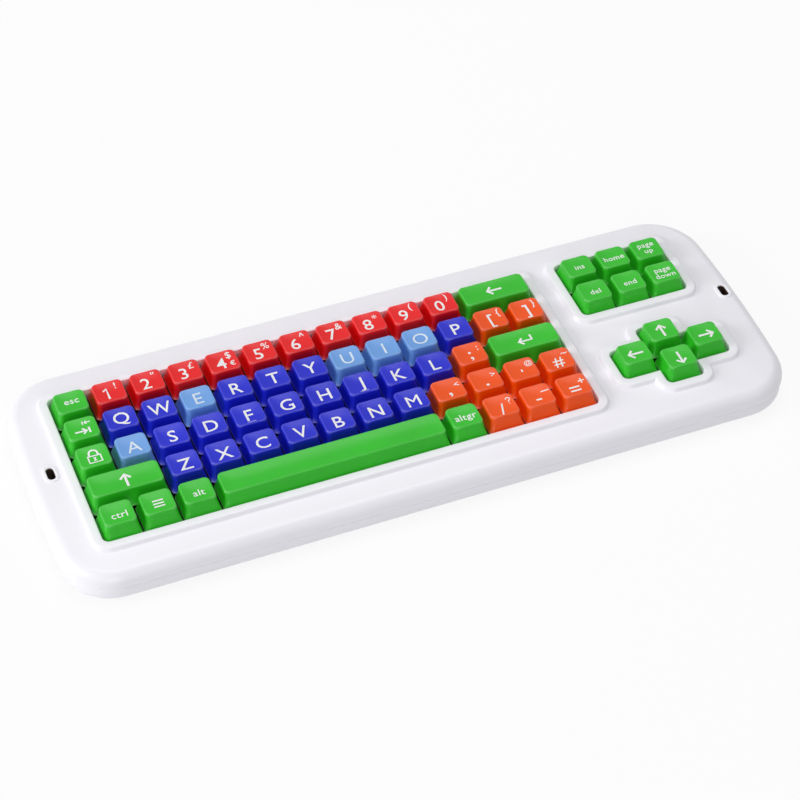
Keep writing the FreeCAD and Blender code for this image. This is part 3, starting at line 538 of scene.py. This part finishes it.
print("door", [round(2 * h, 1) for h in DOOR_HALF], "mm with", len(GROOVES), "grooves")

# %% [markdown]
# ## Tilt legs
# Each leg is a flap that folds out about a pin to raise the back of the keyboard. A flap has the same
# section along its whole width, so it is built as rings of that section, standing up, and then laid
# over, which is shorter than shaping a block from six sides. The pin lies on the joint's axis.

# %% Tilt legs
LEG_HALF, LEG_AXIS, LEG_THICK, LEG_TIP = 14.0, (79.2, 4.3), 5.0, 65.7
LEG_CORNER, PIN_RADIUS, PIN_HALF = 2.3, 1.46, 16.0
FLAP = [(0.6, -LEG_HALF), (0.15, -LEG_HALF + 0.25), (0.0, -LEG_HALF + 0.7),
        (0.0, LEG_HALF - 0.7), (0.15, LEG_HALF - 0.25), (0.6, LEG_HALF)]
RIBS, RIB_HALF, RIB = (67.3, 68.9, 70.5), (10.0, 0.4), ((0.0, 2.2), (0.0, 1.7), (-0.1, 1.55))
(axis_y, axis_z), half = LEG_AXIS, LEG_THICK / 2
section = (LEG_TIP, axis_z - half, axis_y + half, axis_z + half)
for side, x in zip(("left", "right"), LEG_X):
    bm = bmesh.new()
    flap = [ring(bm, rectangle(*section, -inset), z, LEG_CORNER - inset, steps=5) for inset, z in FLAP]
    pin = [disc(bm, axis_y, axis_z, PIN_RADIUS, z) for z in (-PIN_HALF, PIN_HALF)]
    for loops in (flap, pin):
        bridge(bm, loops)
        close_ends(bm, loops)
    lay_over = Matrix(((0, 0, 1, x * MM), (1, 0, 0, 0), (0, 1, 0, 0), (0, 0, 0, 1)))
    bmesh.ops.transform(bm, verts=bm.verts, matrix=lay_over)
    for y in RIBS:
        rib_ring = box_ring(x, y, RIB_HALF, 0.39, 3)
        rib = [rib_ring(bm, grow, z) for grow, z in RIB]
        bridge(bm, rib)
        close_ends(bm, rib)
    leg = finished(f"leg_{side}", bm, f"tilt_leg_{side}", CASE_WHITE)
    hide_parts(f"tilt_leg_{side}")
print("legs turn about y, z =", LEG_AXIS)

# %% [markdown]
# ## Slider ridges
# The power slider is a small dark thumb piece with ridges for a fingernail. Its CAD shape stays, and
# the ridges are added to its face. An array modifier could repeat one ridge, but a loop over four
# places does the same and leaves nothing to apply.

# %% Slider ridges
DARK_PLASTIC = moulded("slider plastic", (0.03, 0.03, 0.035), rough=(0.4, 0.55), grain_depth=0.03)
low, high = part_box("power_slider")
thumb_x, thumb_y = (low[0] + high[0]) / 2 / MM, (low[1] + high[1]) / 2 / MM
RIDGE_STEPS, RIDGE_HALF = (-1.8, -0.6, 0.6, 1.8), (0.3, 2.1)
RIDGE = ((0.0, 1.8), (0.0, 1.3), (-0.12, 1.1))
bm = bmesh.new()
for step in RIDGE_STEPS:
    ridge_ring = box_ring(thumb_x + step, thumb_y, RIDGE_HALF, 0.28, 3)
    ridge = [ridge_ring(bm, grow, z) for grow, z in RIDGE]
    bridge(bm, ridge)
    close_ends(bm, ridge)
finished("slider_ridges", bm, "power_slider", DARK_PLASTIC)
print("slider at", round(thumb_x, 1), round(thumb_y, 1))

# %% [markdown]
# ## Key caps
# A cap is a hollow, tapered moulding: a rounded square foot, sides that lean in more at the front
# than at the back, a soft upper edge and a shallow dish for the fingertip. The crowns are sculpted by
# row: the nearer the row is to the hand, the further back its crown is set, so one cap is made for
# each width and row. A cube with bevelled edges comes close, but its sides stay flat. Rings let the
# sides flare towards the foot, and the dish is a smooth function of the place on the cap, which the
# printed signs use later to lie on it.

# %% The cap and its dish
FOOT_HALF, CROWN_HALF = (12.1, 11.95), (10.0, 9.1)
ROW_SHIFT = (0.3, 0.9, 1.3, 1.6, 1.9)
CAP_FOOT, CAP_TOP, UNIT = 20.0, 31.38, 25.0
DISH, EDGE = 0.75, 1.2
FOOT_CORNER, CROWN_CORNER = 2.6, 3.3
FLARE, FLANK_STEPS, EDGE_STEPS = 1.6, 6, 5
CAP_WALL, ROOF_INSET, ROOF_UNDER = 1.6, 1.9, 29.2
TOP_INSETS = (1.8, 2.6, 3.6, 4.7, 5.8, 6.9, 8.0, 8.8)
STEM_HALF, STEM_ENDS, SPACE_STEMS = (3.0, 2.0), (14.5, 29.5), (-50.0, 0.0, 50.0)


def dish_height(x, y, wide, shift):
    """Height of the cap's top in millimetres at a place measured from the key's centre."""
    along = max(abs(x) - wide, 0.0) / CROWN_HALF[0]
    across = (y - shift) / CROWN_HALF[1]
    return CAP_TOP - DISH * max(0.0, 1 - along ** 2) * max(0.0, 1 - across ** 2)


def cap_ring(bm, wide, shift, lean, inset, z, radius):
    """A loop of the cap: lean 0 is the foot and 1 the crown, and inset moves it in from there."""
    half_x = FOOT_HALF[0] + (CROWN_HALF[0] - FOOT_HALF[0]) * lean + wide - inset
    half_y = FOOT_HALF[1] + (CROWN_HALF[1] - FOOT_HALF[1]) * lean - inset
    y = shift * lean
    return ring(bm, rectangle(-half_x, y - half_y, half_x, y + half_y), z, radius, steps=5, cuts=5)


print("dish", DISH, "mm deep, crowns set back by", ROW_SHIFT)


# %% Caps of every width and row
def cap_mesh(units, row):
    """A cap with its hollow inside, its dish and its stems, centred on the key."""
    wide, shift = UNIT * (units - 1) / 2, ROW_SHIFT[row]
    bm = bmesh.new()

    def loop(*where):
        return cap_ring(bm, wide, shift, *where)

    roof = loop(1.0, ROOF_INSET, ROOF_UNDER, 1.4)
    rings = [roof, loop(0.0, CAP_WALL, CAP_FOOT, 1.2), loop(0.0, 0.25, CAP_FOOT, FOOT_CORNER - 0.2),
             loop(0.02, 0.0, CAP_FOOT + 0.3, FOOT_CORNER)]
    for step in range(1, FLANK_STEPS + 1):
        t = step / FLANK_STEPS
        corner = FOOT_CORNER + (CROWN_CORNER - FOOT_CORNER) * t
        rings.append(loop(1 - (1 - t) ** FLARE, 0.0, CAP_FOOT + (CAP_TOP - EDGE - CAP_FOOT) * t, corner))
    for inset, z in quarter((0.0, CAP_TOP - EDGE), (EDGE, CAP_TOP), EDGE_STEPS)[1:]:
        rings.append(loop(1.0, inset, z, CROWN_CORNER - 0.4 * inset))
    for inset in TOP_INSETS:
        rings.append(loop(1.0, inset, CAP_TOP, max(0.1, CROWN_CORNER - 0.35 * inset)))
    bridge(bm, rings)
    bmesh.ops.contextual_create(bm, geom=roof)
    middle = bmesh.ops.contextual_create(bm, geom=rings[-1])["faces"]
    bmesh.ops.triangulate(bm, faces=middle)
    for vert in bm.verts:
        if vert.co.z > (CAP_TOP - 0.02) * MM:
            vert.co.z = dish_height(vert.co.x / MM, vert.co.y / MM, wide, shift) * MM
    w, d = STEM_HALF
    for x in SPACE_STEMS if units == 6 else (0.0,):
        stem = [ring(bm, rectangle(x - w, -d, x + w, d), z, 0.5, steps=2) for z in STEM_ENDS]
        bridge(bm, stem)
        close_ends(bm, stem)
    bmesh.ops.recalc_face_normals(bm, faces=bm.faces)
    mesh = bpy.data.meshes.new(f"cap_{units}_{row}")
    bm.to_mesh(mesh)
    bm.free()
    return mesh


CAP_KINDS = [(1, 0), (1, 1), (1, 2), (1, 3), (1, 4), (2, 0), (2, 2), (2, 3), (6, 4)]
CAPS = {kind: cap_mesh(*kind) for kind in CAP_KINDS}
print("cap faces:", {kind: len(mesh.polygons) for kind, mesh in CAPS.items()})

# %% [markdown]
# ## Signs
# The signs are thick white ink that stands a hair above the cap. Letters and numerals come from the
# built-in font, which is made into a mesh before it is placed. Arrows, the padlock and the other
# pictures are strokes: a curve with a round bevel is a tidy way to get even width and mitred
# corners, and pressing the tube flat leaves a stroke of ink. Both are then laid on the dish.


# %% Ink from text and strokes
INK_RISE = 0.08


def to_bmesh(curve):
    thing = bpy.data.objects.new("ink", curve)
    bpy.context.scene.collection.objects.link(thing)
    mesh = bpy.data.meshes.new_from_object(thing.evaluated_get(bpy.context.evaluated_depsgraph_get()))
    bm = bmesh.new()
    bm.from_mesh(mesh)
    bpy.data.objects.remove(thing)
    bpy.data.curves.remove(curve)
    bpy.data.meshes.remove(mesh)
    return bm


def ink_text(body, size, x, y, bold=0.012):
    """Text centred at a place on the cap, in millimetres."""
    curve = bpy.data.curves.new("ink", "FONT")
    curve.body, curve.size, curve.resolution_u = body, size, 3
    curve.align_x, curve.space_line, curve.space_character = "CENTER", 0.95, 1.06
    curve.extrude, curve.offset = INK_RISE, bold * size
    bm = to_bmesh(curve)
    low = [min(v.co[i] for v in bm.verts) for i in (0, 1)]
    high = [max(v.co[i] for v in bm.verts) for i in (0, 1)]
    shift = Vector((x - (low[0] + high[0]) / 2, y - (low[1] + high[1]) / 2, 0))
    bmesh.ops.translate(bm, verts=bm.verts, vec=shift)
    return bm


def ink_strokes(lines, x, y, width=0.95, rise=INK_RISE):
    """Open or closed strokes through points in millimetres, pressed flat."""
    curve = bpy.data.curves.new("ink", "CURVE")
    curve.dimensions, curve.bevel_depth, curve.bevel_resolution = "3D", width / 2, 2
    curve.use_fill_caps = True
    for points in lines:
        closed = points[0] == points[-1]
        points = points[:-1] if closed else points
        spline = curve.splines.new("POLY")
        spline.points.add(len(points) - 1)
        spline.use_cyclic_u = closed
        for point, (px, py) in zip(spline.points, points):
            point.co = (px + x, py + y, 0, 1)
    bm = to_bmesh(curve)
    bmesh.ops.scale(bm, verts=bm.verts, vec=(1, 1, 2 * rise / width))
    return bm


def arc(cx, cy, radius, start, end, steps=10):
    turn = [math.radians(start + (end - start) * i / steps) for i in range(steps + 1)]
    return [(cx + radius * math.cos(t), cy + radius * math.sin(t)) for t in turn]


print("ink stands", INK_RISE, "mm proud")

# %% [markdown]
# ## Pictures
# Keys such as tab, lock and enter carry a picture instead of a letter. A font with such signs would
# do, but its strokes wouldn't match the thick print on these keys. So each picture is a short list of
# strokes, in millimetres about the middle of the cap.

# %% Pictures for the working keys
ARROW_LENGTH, ARROW_HEAD = 10.2, 3.3


def arrow(direction, x=0.3, y=0.2, width=1.6):
    """A plain arrow along one of the four directions."""
    dx, dy = {"left": (-1, 0), "right": (1, 0), "up": (0, 1), "down": (0, -1)}[direction]
    tip = Vector((dx, dy)) * ARROW_LENGTH / 2
    one = tip + Vector((-dx - dy, -dy + dx)) * ARROW_HEAD
    other = tip + Vector((-dx + dy, -dy - dx)) * ARROW_HEAD
    shaft, head = [tuple(-tip), tuple(tip)], [tuple(one), tuple(tip), tuple(other)]
    return ink_strokes([shaft, head], x, y, width)


def tab_sign():
    strokes = [[(-5.0, -2.4), (2.6, -2.4)], [(0.0, 0.0), (2.6, -2.4), (0.0, -4.8)],
               [(4.2, 0.0), (4.2, -4.8)]]
    small = [[(0.4, 3.5), (0.4, 6.1)], [(1.6, 4.8), (5.2, 4.8)], [(2.8, 6.0), (1.6, 4.8), (2.8, 3.6)]]
    return [ink_strokes(strokes, 0.0, 0.9, 1.3), ink_strokes(small, 1.0, 0.4, 0.75)]


def lock_sign():
    body = [(-4.0, -5.0), (4.0, -5.0), (4.0, 0.6), (-4.0, 0.6), (-4.0, -5.0)]
    shackle = [(-2.7, 0.6), *arc(0, 2.6, 2.7, 180, 0), (2.7, 0.6)]
    keyhole = [[(-0.8, -1.1), (0.8, -1.1)], [(0.0, -1.1), (0.0, -3.0)], [(-0.9, -3.1), (0.9, -3.1)]]
    return [ink_strokes([body, shackle], 0.3, 0.9, 1.2), ink_strokes(keyhole, 0.3, 0.9, 0.9)]


def enter_sign():
    hook = [(4.6, 3.2), (4.6, -1.0), (-4.6, -1.0)]
    head = [(-1.6, 1.8), (-4.6, -1.0), (-1.6, -3.8)]
    return [ink_strokes([hook, head], 0.3, 0.6, 1.5)]


def menu_sign():
    return [ink_strokes([[(-3.4, y), (3.4, y)] for y in (-2.4, 0.0, 2.4)], 0.3, 0.6, 1.1)]


print("pictures: tab, lock, enter, menu and four arrows")

# %% [markdown]
# ## Numerals and marks
# The red and orange keys carry two signs: the plain one near the middle and the shifted one, smaller,
# in the upper right corner. Text would do for all of them, but a few marks of the built-in font are
# too thin or too small and its one has no flag, so those are drawn as strokes, like the pictures.

# %% Signs in pairs
MAIN_SIZE, SHIFTED_SIZE, EXTRA_SIZE = 13.6, 7.4, 5.6
WORD_SIZE, LONG_WORD_SIZE, PAGING_SIZE = 7.2, 7.4, 6.1
MAIN_RISE, SHIFTED_RISE, SHIFTED_STEP = -1.3, 4.2, 6.2
MARK_RISE = {",": -3.4, ".": -3.4, "'": 0.4, "@": 5.0, "\"": 6.0, "^": 5.6, "~": 5.4,
             ";": -1.4, "-": -1.6}


def numeral_one():
    """The built-in one is a bare stroke, so a flag is drawn to it."""
    return ink_strokes([[(-2.2, 2.8), (0.2, 4.6), (0.2, -4.8)]], -1.5, -1.3, 1.35)


def question(x, y):
    hook = [*arc(0, 1.2, 1.3, 180, -50), (0.0, -0.6), (0.0, -1.2)]
    return ink_strokes([hook, [(0.0, -2.3), (0.0, -2.9)]], x, y, 0.7)


DRAWN = {
    "'": ([[(0.1, 1.2), (0.0, -1.0)]], 1.1),
    "-": ([[(-1.9, 0.0), (1.9, 0.0)]], 1.4),
    "_": ([[(-2.8, 0.0), (2.6, 0.0)]], 0.85),
}
MARK_SIZE = {"@": 5.4, "<": 6.4, ">": 6.4, "+": 8.6, ",": 15.5, ".": 15.5,
             ";": 14.5, "=": 14.5, "#": 12.4}


def one_sign(sign, size, x, y):
    """One sign: drawn by strokes where the built-in one is too thin or too small."""
    if sign in DRAWN:
        lines, width = DRAWN[sign]
        return ink_strokes(lines, x, y, width)
    return ink_text(sign, MARK_SIZE.get(sign, size), x, y, 0.005)


def pair(main, second, third=None):
    """A numeral or mark with its shifted sign in the upper right corner."""
    x = -1.5 if main.isdigit() else -0.2
    if main == "1":
        lower = numeral_one()
    else:
        lower = one_sign(main, MAIN_SIZE, x, MARK_RISE.get(main, MAIN_RISE))
    if second == "?":
        shifted = question(x + SHIFTED_STEP, 4.4)
    else:
        shifted = one_sign(second, SHIFTED_SIZE, x + SHIFTED_STEP, MARK_RISE.get(second, SHIFTED_RISE))
    inks = [lower, shifted]
    if third:
        inks.append(ink_text(third, EXTRA_SIZE, 5.6, -3.0))
    return inks


def word(text, size=WORD_SIZE):
    return [ink_text(text, size, 0.5, 0.2, 0.007)]


print("signs:", MAIN_SIZE, "mm text, shifted ones", SHIFTED_SIZE, "mm")

# %% [markdown]
# ## Which sign goes where
# The caps follow the board: a row of numerals, the letters, punctuation, and the working keys with
# short names or pictures. They could be placed one by one, but all lie on one grid, so each entry
# below is a key: its node, its place in the grid, its width and its ink. Keys that share a node share
# a mesh as well.

# %% Lay out the keys
FIRST_X, FIRST_Y, SIDE_COLUMN = -200.5, 51.25, 148.5
GREEN, RED, ORANGE, DARK, LIGHT = KEY_COLOURS
keys = []


def key(node, column, row, units, colour, inks, x=None, y=None, sculpt=None):
    """One key at its place in the grid, or at x and y; sculpt is the row whose profile it has."""
    centre_x = FIRST_X + UNIT * (column + (units - 1) / 2) if x is None else x
    centre_y = FIRST_Y - UNIT * row if y is None else y
    keys.append((node, centre_x, centre_y, (units, row if sculpt is None else sculpt), colour, inks))


key("key_escape", 0, 0, 1, GREEN, word("esc"))
NUMERALS = zip("1234567890", "!\"£$%^&*()", (None, None, None, "€") + (None,) * 6)
for column, (numeral, shifted, extra) in enumerate(NUMERALS, start=1):
    key("digit_keys", column, 0, 1, RED, pair(numeral, shifted, extra))
key("key_backspace", 11, 0, 2, GREEN, [arrow("left")])
key("key_tab", 0, 1, 1, GREEN, tab_sign())
key("key_lock", 0, 2, 1, GREEN, lock_sign())
key("key_enter", 11, 2, 2, GREEN, enter_sign())
key("key_shift", 0, 3, 2, GREEN, [arrow("up")])
LETTERS = ((1, "QWERTYUIOP"), (1, "ASDFGHJKL"), (2, "ZXCVBNM"))
FINE_LETTERS = "AEIOUM"
for row, (start, letters) in enumerate(LETTERS, start=1):
    for column, letter in enumerate(letters, start=start):
        inks = [ink_text(letter, MAIN_SIZE, 0.2, 0.0, 0.0 if letter in FINE_LETTERS else 0.005)]
        key(f"key_letter_{letter.lower()}", column, row, 1, LIGHT if letter in "AEIOU" else DARK, inks)
MARKS = ((1, 11, ("[{", "]}")), (2, 10, (";:",)), (3, 9, (",<", ".>", "'@", "#~")),
         (4, 10, ("/?", "-_", "=+")))
for row, start, marks in MARKS:
    for column, (mark, shifted) in enumerate(marks, start=start):
        key("sign_keys", column, row, 1, ORANGE, pair(mark, shifted))
key("key_control", 0, 4, 1, GREEN, word("ctrl"))
key("key_command", 1, 4, 1, GREEN, menu_sign())
key("key_alternate", 2, 4, 1, GREEN, word("alt"))
key("key_space", 3, 4, 6, GREEN, [])
key("key_alternate_right", 9, 4, 1, GREEN, word("altgr", LONG_WORD_SIZE))
for row, names in enumerate((("ins", "home", "page\nup"), ("del", "end", "page\ndown"))):
    for column, name in enumerate(names):
        key("paging_keys", 0, row, 1, GREEN, word(name, PAGING_SIZE), x=SIDE_COLUMN + UNIT * column,
            sculpt=row + 1)
ARROW_PLACES = {"up": (1, -22.5), "left": (0, -35.375), "down": (1, -48.25), "right": (2, -35.375)}
for direction, (column, y) in ARROW_PLACES.items():
    key(f"key_arrow_{direction}", 0, 0, 1, GREEN, [arrow(direction)], x=SIDE_COLUMN + UNIT * column, y=y,
        sculpt=2)
print(len(keys), "keys laid out")

# %% [markdown]
# ## Caps and ink together
# On the real keys the ink follows the hollow of the cap. A shrinkwrap modifier could press each sign
# down, but the height of the dish is known at every place, so each vertex of a sign is simply lifted
# to that height. The two letter keys that the index fingers rest on also get a small raised bar.

# %% Mould the caps and print them
INK = moulded("sign ink", (0.84, 0.84, 0.84), rough=(0.4, 0.55), drift=0.03, wear_and_highlight=0.0, blotch=300)
PALE_INK = moulded("pale sign ink", (0.66, 0.76, 0.86), rough=(0.4, 0.55), drift=0.03, wear_and_highlight=0.0,
                   blotch=300)
HOMING, HOMING_BAR = ("key_letter_f", "key_letter_j"), [(-2.8, -6.0), (2.8, -6.0)]
HOMING_WIDTH, HOMING_RISE = 1.0, 0.36


def lay_on(target, sign, x, y, kind):
    """Drape a sign over the dish of the cap at a place and add it to the target mesh."""
    units, row = kind
    for vert in sign.verts:
        height = dish_height(vert.co.x, vert.co.y, UNIT * (units - 1) / 2, ROW_SHIFT[row]) + vert.co.z
        vert.co = ((vert.co.x + x) * MM, (vert.co.y + y) * MM, height * MM)
    printed = bpy.data.meshes.new("sign")
    sign.to_mesh(printed)
    sign.free()
    target.from_mesh(printed)
    bpy.data.meshes.remove(printed)


body_of = {node: body for body, nodes in frame["record"]["behaviour"]["bodies"].items() for node in nodes}
for node in dict.fromkeys(k[0] for k in keys):
    plastic, ink = bmesh.new(), bmesh.new()
    for _, x, y, kind, colour, inks in (k for k in keys if k[0] == node):
        made = len(plastic.verts)
        plastic.from_mesh(CAPS[kind])
        plastic.verts.ensure_lookup_table()
        bmesh.ops.translate(plastic, verts=plastic.verts[made:], vec=(x * MM, y * MM, 0))
        for sign in inks:
            lay_on(ink, sign, x, y, kind)
        if node in HOMING:
            lay_on(plastic, ink_strokes([HOMING_BAR], 0.0, 0.0, HOMING_WIDTH, HOMING_RISE), x, y, kind)
    short = node.replace("key_", "")
    cap = finished(f"cap_{short}", plastic, body_of[node], KEY_PLASTIC[colour], crease=40)
    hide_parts(node)
    if len(ink.verts):
        finished(f"sign_{short}", ink, body_of[node], PALE_INK if colour == LIGHT else INK,
                 crease=30)
    else:
        ink.free()
print("caps:", len({k[0] for k in keys}), "pieces")

# %% [markdown]
# ## Inside and underneath
# The plate, the mat, the board and the battery parts are seen only through a gap or with the door
# open, so their CAD shapes stay and only get a finish: dark filled plastic, matt rubber, green
# laminate, bright steel and a printed jacket. The finish is the same kind of node tree with other
# numbers, which keeps one idea of plastic through the whole lesson.

# %% Finishes for the CAD nodes that stay
FINISHES = {
    "plate_dark": moulded("dark plate", (0.02, 0.02, 0.024), rough=(0.45, 0.6), grain_depth=0.03),
    "mat_rubber": moulded("mat rubber", (0.35, 0.36, 0.38), rough=(0.7, 0.85), grain_depth=0.04),
    "board_laminate": moulded("board laminate", (0.02, 0.16, 0.06), rough=(0.35, 0.5), blotch=120),
    "bright_steel": STEEL,
    "cell_jacket": moulded("cell jacket", (0.05, 0.055, 0.07), rough=(0.2, 0.3), coat=0.4),
    "slider_dark": DARK_PLASTIC,
}
CAD_SLOTS = {
    "key_plate": "plate_dark", "contact_mat": "mat_rubber", "circuit_board": "board_laminate",
    "radio_module": "bright_steel", "battery_contacts": "bright_steel", "battery_cell": "cell_jacket",
    "power_slider": "slider_dark",
}
for node, finish in CAD_SLOTS.items():
    thing = frame["nodes"][node]
    if not thing.material_slots:
        thing.data.materials.append(None)
    for material_slot in thing.material_slots:
        material_slot.material = FINISHES[finish]
print("CAD nodes finished:", len(CAD_SLOTS))

# %% [markdown]
# ## White ground
# The photograph is a shop picture on a white ground. Stronger lamps would whiten a floor too, but they
# would bleach the white case with it. So the floor glows white for the camera, and part of it still
# answers to light, which keeps a trace of shadow.


# %% Floor
def white_for_camera(nodes, links):
    """1 where the camera, a reflection or a refraction looks straight at the ground."""
    path = nodes.new("ShaderNodeLightPath")
    total = path.outputs["Is Camera Ray"]
    for name in ("Is Glossy Ray", "Is Transmission Ray"):
        add = nodes.new("ShaderNodeMath")
        add.operation = "MAXIMUM"
        links.new(total, add.inputs[0])
        links.new(path.outputs[name], add.inputs[1])
        total = add.outputs["Value"]
    return total


FLOOR_HALF, FLOOR_TONE, GLOW_SHARE = 6.0, 0.86, 0.88
floor_mesh = bpy.data.meshes.new("floor")
bm = bmesh.new()
bmesh.ops.create_grid(bm, x_segments=8, y_segments=8, size=FLOOR_HALF)
bm.to_mesh(floor_mesh)
bm.free()
floor = bpy.data.objects.new("floor", floor_mesh)
bpy.context.scene.collection.objects.link(floor)
paper = bpy.data.materials.new("floor paper")
paper.use_nodes = True
nodes, links = paper.node_tree.nodes, paper.node_tree.links
shader = nodes["Principled BSDF"]
shader.inputs["Base Color"].default_value = (FLOOR_TONE, FLOOR_TONE, FLOOR_TONE, 1)
shader.inputs["Roughness"].default_value = 0.9
glow = nodes.new("ShaderNodeEmission")
glow.inputs["Color"].default_value = (1, 1, 1, 1)
share = nodes.new("ShaderNodeMath")
share.operation = "MULTIPLY"
share.inputs[1].default_value = GLOW_SHARE
links.new(white_for_camera(nodes, links), share.inputs[0])
blend = nodes.new("ShaderNodeMixShader")
links.new(share.outputs["Value"], blend.inputs["Fac"])
links.new(shader.outputs["BSDF"], blend.inputs[1])
links.new(glow.outputs["Emission"], blend.inputs[2])
links.new(blend.outputs["Shader"], nodes["Material Output"].inputs["Surface"])
floor_mesh.materials.append(paper)
print("floor", floor.dimensions[:2])

# %% [markdown]
# ## Room light
# A white room lights the keyboard from all round, so that no side goes black. A plain white world
# would do that, but it would also drown the lamps. This one is white where the camera or a reflection
# looks at it, and dimmer where it only lights.

# %% World
AMBIENT = 0.31
world = bpy.data.worlds.new("studio")
bpy.context.scene.world = world
world.use_nodes = True
nodes, links = world.node_tree.nodes, world.node_tree.links
sky = nodes["Background"]
sky.inputs["Color"].default_value = (1, 1, 1, 1)
level = nodes.new("ShaderNodeMapRange")
level.inputs["To Min"].default_value, level.inputs["To Max"].default_value = AMBIENT, 1.0
links.new(white_for_camera(nodes, links), level.inputs["Value"])
links.new(level.outputs["Result"], sky.inputs["Strength"])
print("ambient", AMBIENT)

# %% [markdown]
# ## Lamps
# The light in the photograph is broad and comes from the left, with weaker light from above and from
# the front. Point lamps would leave hard spots on the caps, so square area lights are used, which
# give soft glints along the edges.


# %% Lamps
def softbox(name, at, size, power):
    """A square area light that faces the middle of the keyboard."""
    lamp = bpy.data.lights.new(name, "AREA")
    lamp.shape, lamp.size, lamp.energy = "SQUARE", size, power
    thing = bpy.data.objects.new(name, lamp)
    bpy.context.scene.collection.objects.link(thing)
    facing = (-Vector(at)).to_track_quat("-Z", "Y").to_matrix().to_4x4()
    thing.matrix_world = Matrix.Translation(at) @ facing
    return thing


softbox("left box", (-2.9, 0.3, 1.35), 1.2, 50)
softbox("top box", (0.3, 0.8, 2.6), 1.8, 29)
softbox("front box", (-0.7, -2.2, 1.0), 1.2, 14)
print("three soft boxes")

# %% [markdown]
# ## Camera
# The photographer stood left of the middle and looked down at about 46 degrees. The place, the turn
# and the lens were fitted together to the grid of keys, because a longer lens from further away gives
# nearly the same picture and only the far end of the keyboard tells them apart.

# %% Camera
CAMERA_AT = Vector((-0.4173, -0.9888, 1.1249))
AZIMUTH, ELEVATION, ROLL = math.radians(-22.913), math.radians(46.125), math.radians(1.534)
LENS = 109.0
back = Vector((math.sin(AZIMUTH) * math.cos(ELEVATION), -math.cos(AZIMUTH) * math.cos(ELEVATION),
               math.sin(ELEVATION)))
level_right = (-back).cross(Vector((0, 0, 1))).normalized()
level_up = back.cross(level_right)
right = math.cos(ROLL) * level_right + math.sin(ROLL) * level_up
up = back.cross(right)
lens = bpy.data.cameras.new("camera")
lens.lens, lens.sensor_width = LENS, 36.0
lens.clip_end = 50.0
camera = bpy.data.objects.new("camera", lens)
bpy.context.scene.collection.objects.link(camera)
turn = Matrix((right, up, back)).transposed().to_4x4()
camera.matrix_world = Matrix.Translation(CAMERA_AT) @ turn
bpy.context.scene.camera = camera
bpy.context.scene.view_settings.view_transform = "Standard"
print("camera at", tuple(CAMERA_AT))
